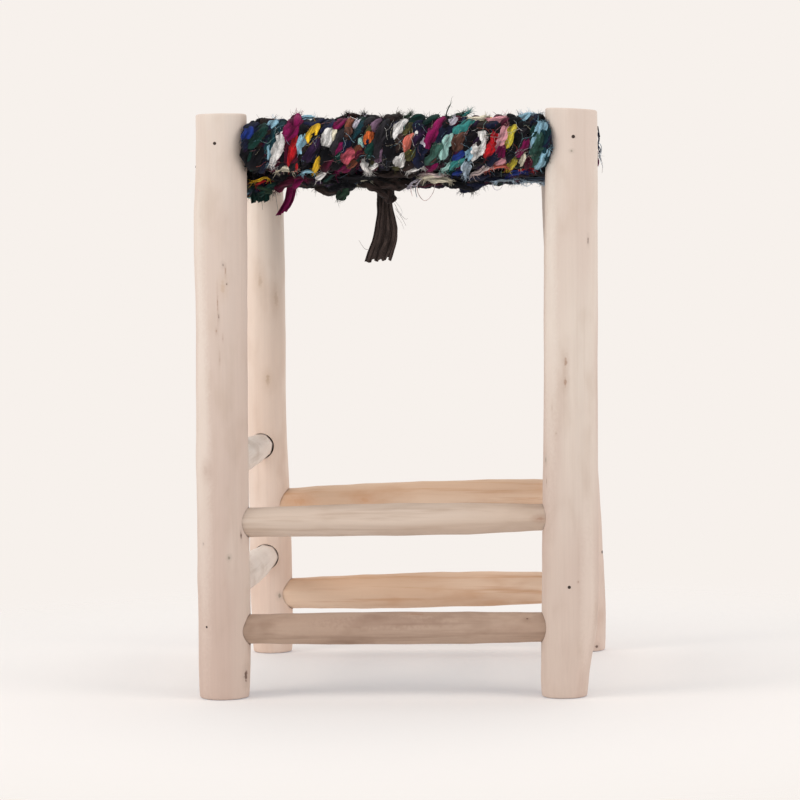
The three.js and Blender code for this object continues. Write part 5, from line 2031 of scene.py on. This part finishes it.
@dataclass
class Studio:
    """Pale floor, soft light and the photograph's camera."""

    floor_radius: float = 2.0
    floor_drop: float = 0.15 * MM
    ambient: float = 0.80
    sky: Colour = (0.975, 0.99, 1.0)
    lights: tuple[SoftLight, ...] = (
        SoftLight("key_light", (-1.7, -1.0, 1.25), (0.0, 0.0, 0.30), 1.2, 14.0),
        SoftLight("fill_light", (1.7, -1.0, 1.15), (0.0, 0.0, 0.30), 1.2, 9.6),
        SoftLight("top_light", (0.2, 0.9, 2.0), (0.2, 0.6, 0.0), 1.8, 6.0),
    )

    def build(self) -> None:
        """Make the floor, the lights, the surroundings and the camera."""
        bm = bmesh.new()
        bmesh.ops.create_circle(bm, cap_ends=True, segments=96, radius=self.floor_radius)
        bmesh.ops.translate(bm, verts=bm.verts, vec=(0.0, 0.0, -self.floor_drop))
        floor = piece_from(bm, "floor", [FloorPaint().dress()])
        for light in self.lights:
            light.build()
        self.surround()
        Viewpoint().build()
        bpy.context.scene.view_settings.view_transform = "Standard"
        LOG.info("studio: floor, %d lights and camera", len(self.lights))

    def surround(self) -> None:
        """Show the backdrop's own colour to the eye and light the stool evenly from all round."""
        world = bpy.data.worlds.new("studio")
        world.use_nodes = True
        nodes, links = world.node_tree.nodes, world.node_tree.links
        shown, soft = nodes["Background"], nodes.new("ShaderNodeBackground")
        for node, light, strength in ((shown, linear(CREAM_WHITE), 1.0), (soft, self.sky, self.ambient)):
            node.inputs["Color"].default_value = (*light, 1.0)
            node.inputs["Strength"].default_value = strength
        blend, ray = nodes.new("ShaderNodeMixShader"), nodes.new("ShaderNodeLightPath")
        links.new(ray.outputs["Is Camera Ray"], blend.inputs[0])
        links.new(soft.outputs[0], blend.inputs[1])
        links.new(shown.outputs[0], blend.inputs[2])
        links.new(blend.outputs[0], nodes["World Output"].inputs["Surface"])
        bpy.context.scene.world = world


FRONT_TONES = ((230, 215, 202), (220, 200, 187), (200, 178, 160))
FRONT_LEFT_WOOD = BareWood("front_left_post_wood", *FRONT_TONES, figure=0.4, shift=1.0)
FRONT_RIGHT_WOOD = BareWood("front_right_post_wood", *FRONT_TONES, figure=0.35, shift=2.3)
REAR_LEFT_WOOD = BareWood("rear_left_post_wood", (248, 230, 215), (243, 221, 204), (224, 198, 178), shift=3.1)
REAR_RIGHT_WOOD = BareWood("rear_right_post_wood", (238, 222, 210), (230, 211, 197), (208, 183, 166),
                           shift=4.7)

POSTS = (
    Post("front_left_post", FRONT_LEFT_WOOD, (
        Mark(MarkKind.PIN_KNOT, 334.6, 13.3, 0.9, 1.6),
        Mark(MarkKind.KNOT, 176.9, -30.6, 2.4, 4.5),
        Mark(MarkKind.PIN_KNOT, 120.5, -41.5, 1.2, 1.6),
        Mark(MarkKind.PIN_KNOT, 127, 49.6, 0.8, 3),
        Mark(MarkKind.PIN_KNOT, 17.6, 63.9, 2.2, 5),
        Mark(MarkKind.STAIN, 110, 20.1, 1.2, 1.4),
        Mark(MarkKind.STREAK, 303, 0, 0.4, 9),
        Mark(MarkKind.PIN_KNOT, 295, 2.3, 0.45, 2.2),
        Mark(MarkKind.STREAK, 284.2, -3.4, 0.5, 1.6),
        Mark(MarkKind.STREAK, 279, 11, 0.4, 1.8),
        Mark(MarkKind.STREAK, 262.8, 4.2, 0.4, 3),
        Mark(MarkKind.STREAK, 329.8, 18.4, 0.5, 2.6),
        Mark(MarkKind.PIN_KNOT, 319.9, 20.6, 0.6, 0.8),
        Mark(MarkKind.PATCH, 317.6, 12, 2.2, 5),
        # Painted light on the left side of the post, where the key light falls
        Mark(MarkKind.PALE, 190, -42, 3.6, 70),
    ), seed=3),
    Post("front_right_post", FRONT_RIGHT_WOOD, (
        Mark(MarkKind.STAIN, 416.4, 1.8, 1.2, 0.9),
        Mark(MarkKind.STREAK, 257.2, -9, 1.4, 4.2),
        Mark(MarkKind.STREAK, 242.2, -9.5, 1.3, 4.2),
        Mark(MarkKind.STAIN, 182, -62, 1.3, 2.4),
        Mark(MarkKind.STREAK, 166, -57, 0.7, 2.6),
        Mark(MarkKind.PIN_KNOT, 349.1, 41.9, 0.7, 2.6),
        Mark(MarkKind.STREAK, 89.9, 18.5, 0.6, 0.7),
        Mark(MarkKind.STREAK, 222.3, -41, 0.6, 3.4),
        Mark(MarkKind.STREAK, 203, -30, 0.5, 0.8),
        # Painted light patches on this post's lit sides
        Mark(MarkKind.PALE, 290, -50, 3.4, 60),
        Mark(MarkKind.PALE, 70, 44, 3, 30),
    ), flat_depth=0.14, seed=8),
    Post("rear_left_post", REAR_LEFT_WOOD, (
        Mark(MarkKind.STAIN, 49.3, 27.9, 1.6, 2),
        Mark(MarkKind.PATCH, 234.5, 13.5, 2.6, 5.5),
        Mark(MarkKind.PATCH, 236, 14, 1.6, 3.4),
        Mark(MarkKind.PATCH, 319, -6, 2.2, 6),
        Mark(MarkKind.PATCH, 303, 42, 2.2, 8),
    ), bulge=Mark(MarkKind.SWELLING, 68, -82, 2.2, 38), seed=14),
    Post("rear_right_post", REAR_RIGHT_WOOD, (
        Mark(MarkKind.STREAK, 107.2, 48.6, 0.9, 5),
        Mark(MarkKind.STREAK, 93, 44, 0.9, 5),
        Mark(MarkKind.PIN_KNOT, 4.5, 38.6, 1.6, 1.6),
    ), seed=19),
)

UPPER_FRONT_WOOD = BareWood("front_upper_wood", (212, 192, 176), (206, 183, 165), (180, 154, 134),
                            Axis.ACROSS, 0.5, 0.6, shift=5.2)
LOWER_FRONT_WOOD = BareWood("front_lower_wood", (190, 164, 145), (178, 150, 131), (144, 117, 99),
                            Axis.ACROSS, 0.8, 0.6, shift=6.4)
REAR_WOOD = BareWood("rear_stretcher_wood", (232, 204, 180), (220, 186, 158), (202, 156, 120),
                     Axis.ACROSS, 0.6, 0.8, shift=7.7)
SIDE_WOOD = BareWood("side_stretcher_wood", (242, 230, 220), (236, 220, 208), (206, 186, 170),
                     Axis.DEEP, 0.6, 0.6, shift=8.9)
RAIL_TONES = ((206, 184, 164), (196, 170, 148), (166, 136, 112))
CROSS_RAIL_WOOD = BareWood("cross_rail_wood", *RAIL_TONES, Axis.ACROSS, shift=9.3)
SIDE_RAIL_WOOD = BareWood("side_rail_wood", *RAIL_TONES, Axis.DEEP, shift=9.9)

STRETCHERS = (
    Stick("front_upper_stretcher", Axis.ACROSS, UPPER_FRONT_WOOD, "front_stick_wood", (
        Mark(MarkKind.KNOT, 109.5, 180, 1.6, 3),
    ), ridge=185, seed=4),
    Stick("front_lower_stretcher", Axis.ACROSS, LOWER_FRONT_WOOD, "front_stick_wood", (
        Mark(MarkKind.STREAK, 12.5, 115, 1.2, 9),
        Mark(MarkKind.PIN_KNOT, 98.5, 140, 0.9, 1.2),
        # Painted shade on the front upper face of this stretcher
        Mark(MarkKind.PAINTED_SHADE, -10, 150, 7, 55),
    ), ridge=200, flat_depth=0.35, seed=7),
    Stick("rear_upper_stretcher", Axis.ACROSS, REAR_WOOD, "rear_stick_wood", (
        Mark(MarkKind.WARM, -106.6, 170, 3, 7),
        Mark(MarkKind.WARM, -51.4, 172, 2.6, 5),
    ), ridge=150, seed=10),
    Stick("rear_lower_stretcher", Axis.ACROSS, REAR_WOOD, "rear_stick_wood",
          ridge=182, flat_depth=0.7, seed=13),
    *(Stick(f"{place}_stretcher", Axis.DEEP, SIDE_WOOD, "side_stick_wood", ridge=ridge, seed=seed)
      for place, ridge, seed in (("left_upper", 10, 16), ("left_lower", 30, 22),
                                 ("right_upper", 20, 25), ("right_lower", 5, 28))),
)

RAILS = tuple(
    Stick(f"{side}_seat_rail", wood.axis, wood, "rail_wood", full_ends=False, flats=8, seed=seed)
    for side, wood, seed in (("front", CROSS_RAIL_WOOD, 31), ("rear", CROSS_RAIL_WOOD, 34),
                             ("left", SIDE_RAIL_WOOD, 37), ("right", SIDE_RAIL_WOOD, 40))
)

TAILS = (
    RagTail("brown_rag_tail", "brown_rag", Rag.UMBER, (42, 56), 4.5,
            ((-8.6, 391), (-8.8, 383), (-8.9, 375.2), (-8.7, 367.4),
             (-8.6, 359.6), (-9.9, 351.8), (-12.8, 344), (-15.6, 336)),
            (11.6, 11.6, 12, 15.4, 18.2, 19.4, 20.6, 20.4), slant=2, fold_share=0.3, tatter=1.2),
    RagTail("magenta_rag_tail", "magenta_rag", Rag.PLUM, (14, 26), 1.5,
            ((-81, 397), (-82.2, 391), (-83.9, 384.5), (-86.8, 379),
             (-89.8, 373.6)),
            (6.4, 6.8, 7.2, 8.2, 8), slant=4, tatter=0.6, columns=36, rows=30, seed=8),
    RagTail("green_rag_tail", "green_rag", Rag.BOTTLE, (26, 18), 2,
            ((-104.6, 397), (-105.5, 390.5), (-106, 383)),
            (15, 15, 13.4), slant=0.5, tatter=1.2, columns=48, rows=24, seed=11),
)

NAILS = (
    "front_rail_left_nail", "front_rail_right_nail", "rear_rail_left_nail", "rear_rail_right_nail",
    "left_rail_front_nail", "left_rail_rear_nail", "right_rail_front_nail", "right_rail_rear_nail",
    "front_lower_left_nail", "right_lower_front_nail", "right_lower_rear_nail",
)

LOOSE_MOUTHS = {
    ("left_upper_stretcher", "rear_left_post"): (0.45 * MM, (0.65 * MM, 0.0, -0.1 * MM)),
    ("left_lower_stretcher", "rear_left_post"): (0.35 * MM, (0.4 * MM, 0.0, 0.2 * MM)),
}
TIGHT_GAP = 0.35 * MM


@dataclass
class Frame:
    """The wooden frame: posts, stretchers, rails and nails."""

    posts: dict[str, Post]
    sticks: tuple[Stick, ...]

    def post_of(self, stick: Stick, at_low_end: bool) -> str:
        """Name the post that holds one end of a stick.

        Args:
            stick: the stick.
            at_low_end: whether it is the end with the lower coordinate.

        Returns:
            The post's name.
        """
        side = stick.node.split("_")[0]
        if stick.axis is Axis.ACROSS:
            return f"{side}_{'left' if at_low_end else 'right'}_post"
        return f"{'front' if at_low_end else 'rear'}_{side}_post"

    def build(self) -> None:
        """Build all wooden pieces and nails."""
        bores = {name: [] for name in self.posts}
        for stick in self.sticks:
            stick.build()
            for at_low_end in (True, False):
                post = self.post_of(stick, at_low_end)
                gap, offset = LOOSE_MOUTHS.get((stick.node, post), (TIGHT_GAP, ORIGIN))
                bores[post].append(stick.mouth(at_low_end, gap, offset))
        hollow = BareWood("mortise_wood", (150, 118, 94), (136, 104, 82), (104, 78, 60), figure=0.6).dress([])
        for name, post in self.posts.items():
            post.build(bores[name], EndGrain(f"{name}_ends"), hollow)
        steel = NailSteel().dress()
        for node in NAILS:
            Nail(node).build(steel)


def main() -> None:
    """Dress the stool, then set up the studio and note the sizes."""
    logging.basicConfig(level=logging.INFO, format="%(message)s", stream=sys.stdout)
    Studio().build()
    posts = {post.node: post for post in POSTS}
    Frame(posts, STRETCHERS + RAILS).build()
    seat = Seat(*RAILS)
    seat.plan(posts)
    plies = seat.build()
    pile, ends, fuzz = RagPile(RAILS[0].timber), Fringe(), Fringe()
    for number, scrap in enumerate(SCRAPS):
        pile.add(number, scrap, ends)
    pile.stray(ends, STRAY_RAGS, 170)
    for thread in LOOSE_THREADS:
        pile.dangle(ends, thread)
    pile.build("front_rag_folds", RagCloth("rag_folds").dress())
    fuzz.add_fuzz(plies, 1300)
    thread_cloth = RagCloth("rag_threads", 0.1 * MM).dress()
    ends.build("rag_end_threads", thread_cloth)
    fuzz.build("rag_fuzz", thread_cloth)
    for tail in TAILS:
        tail.build()


if __name__ == "__main__":
    main()
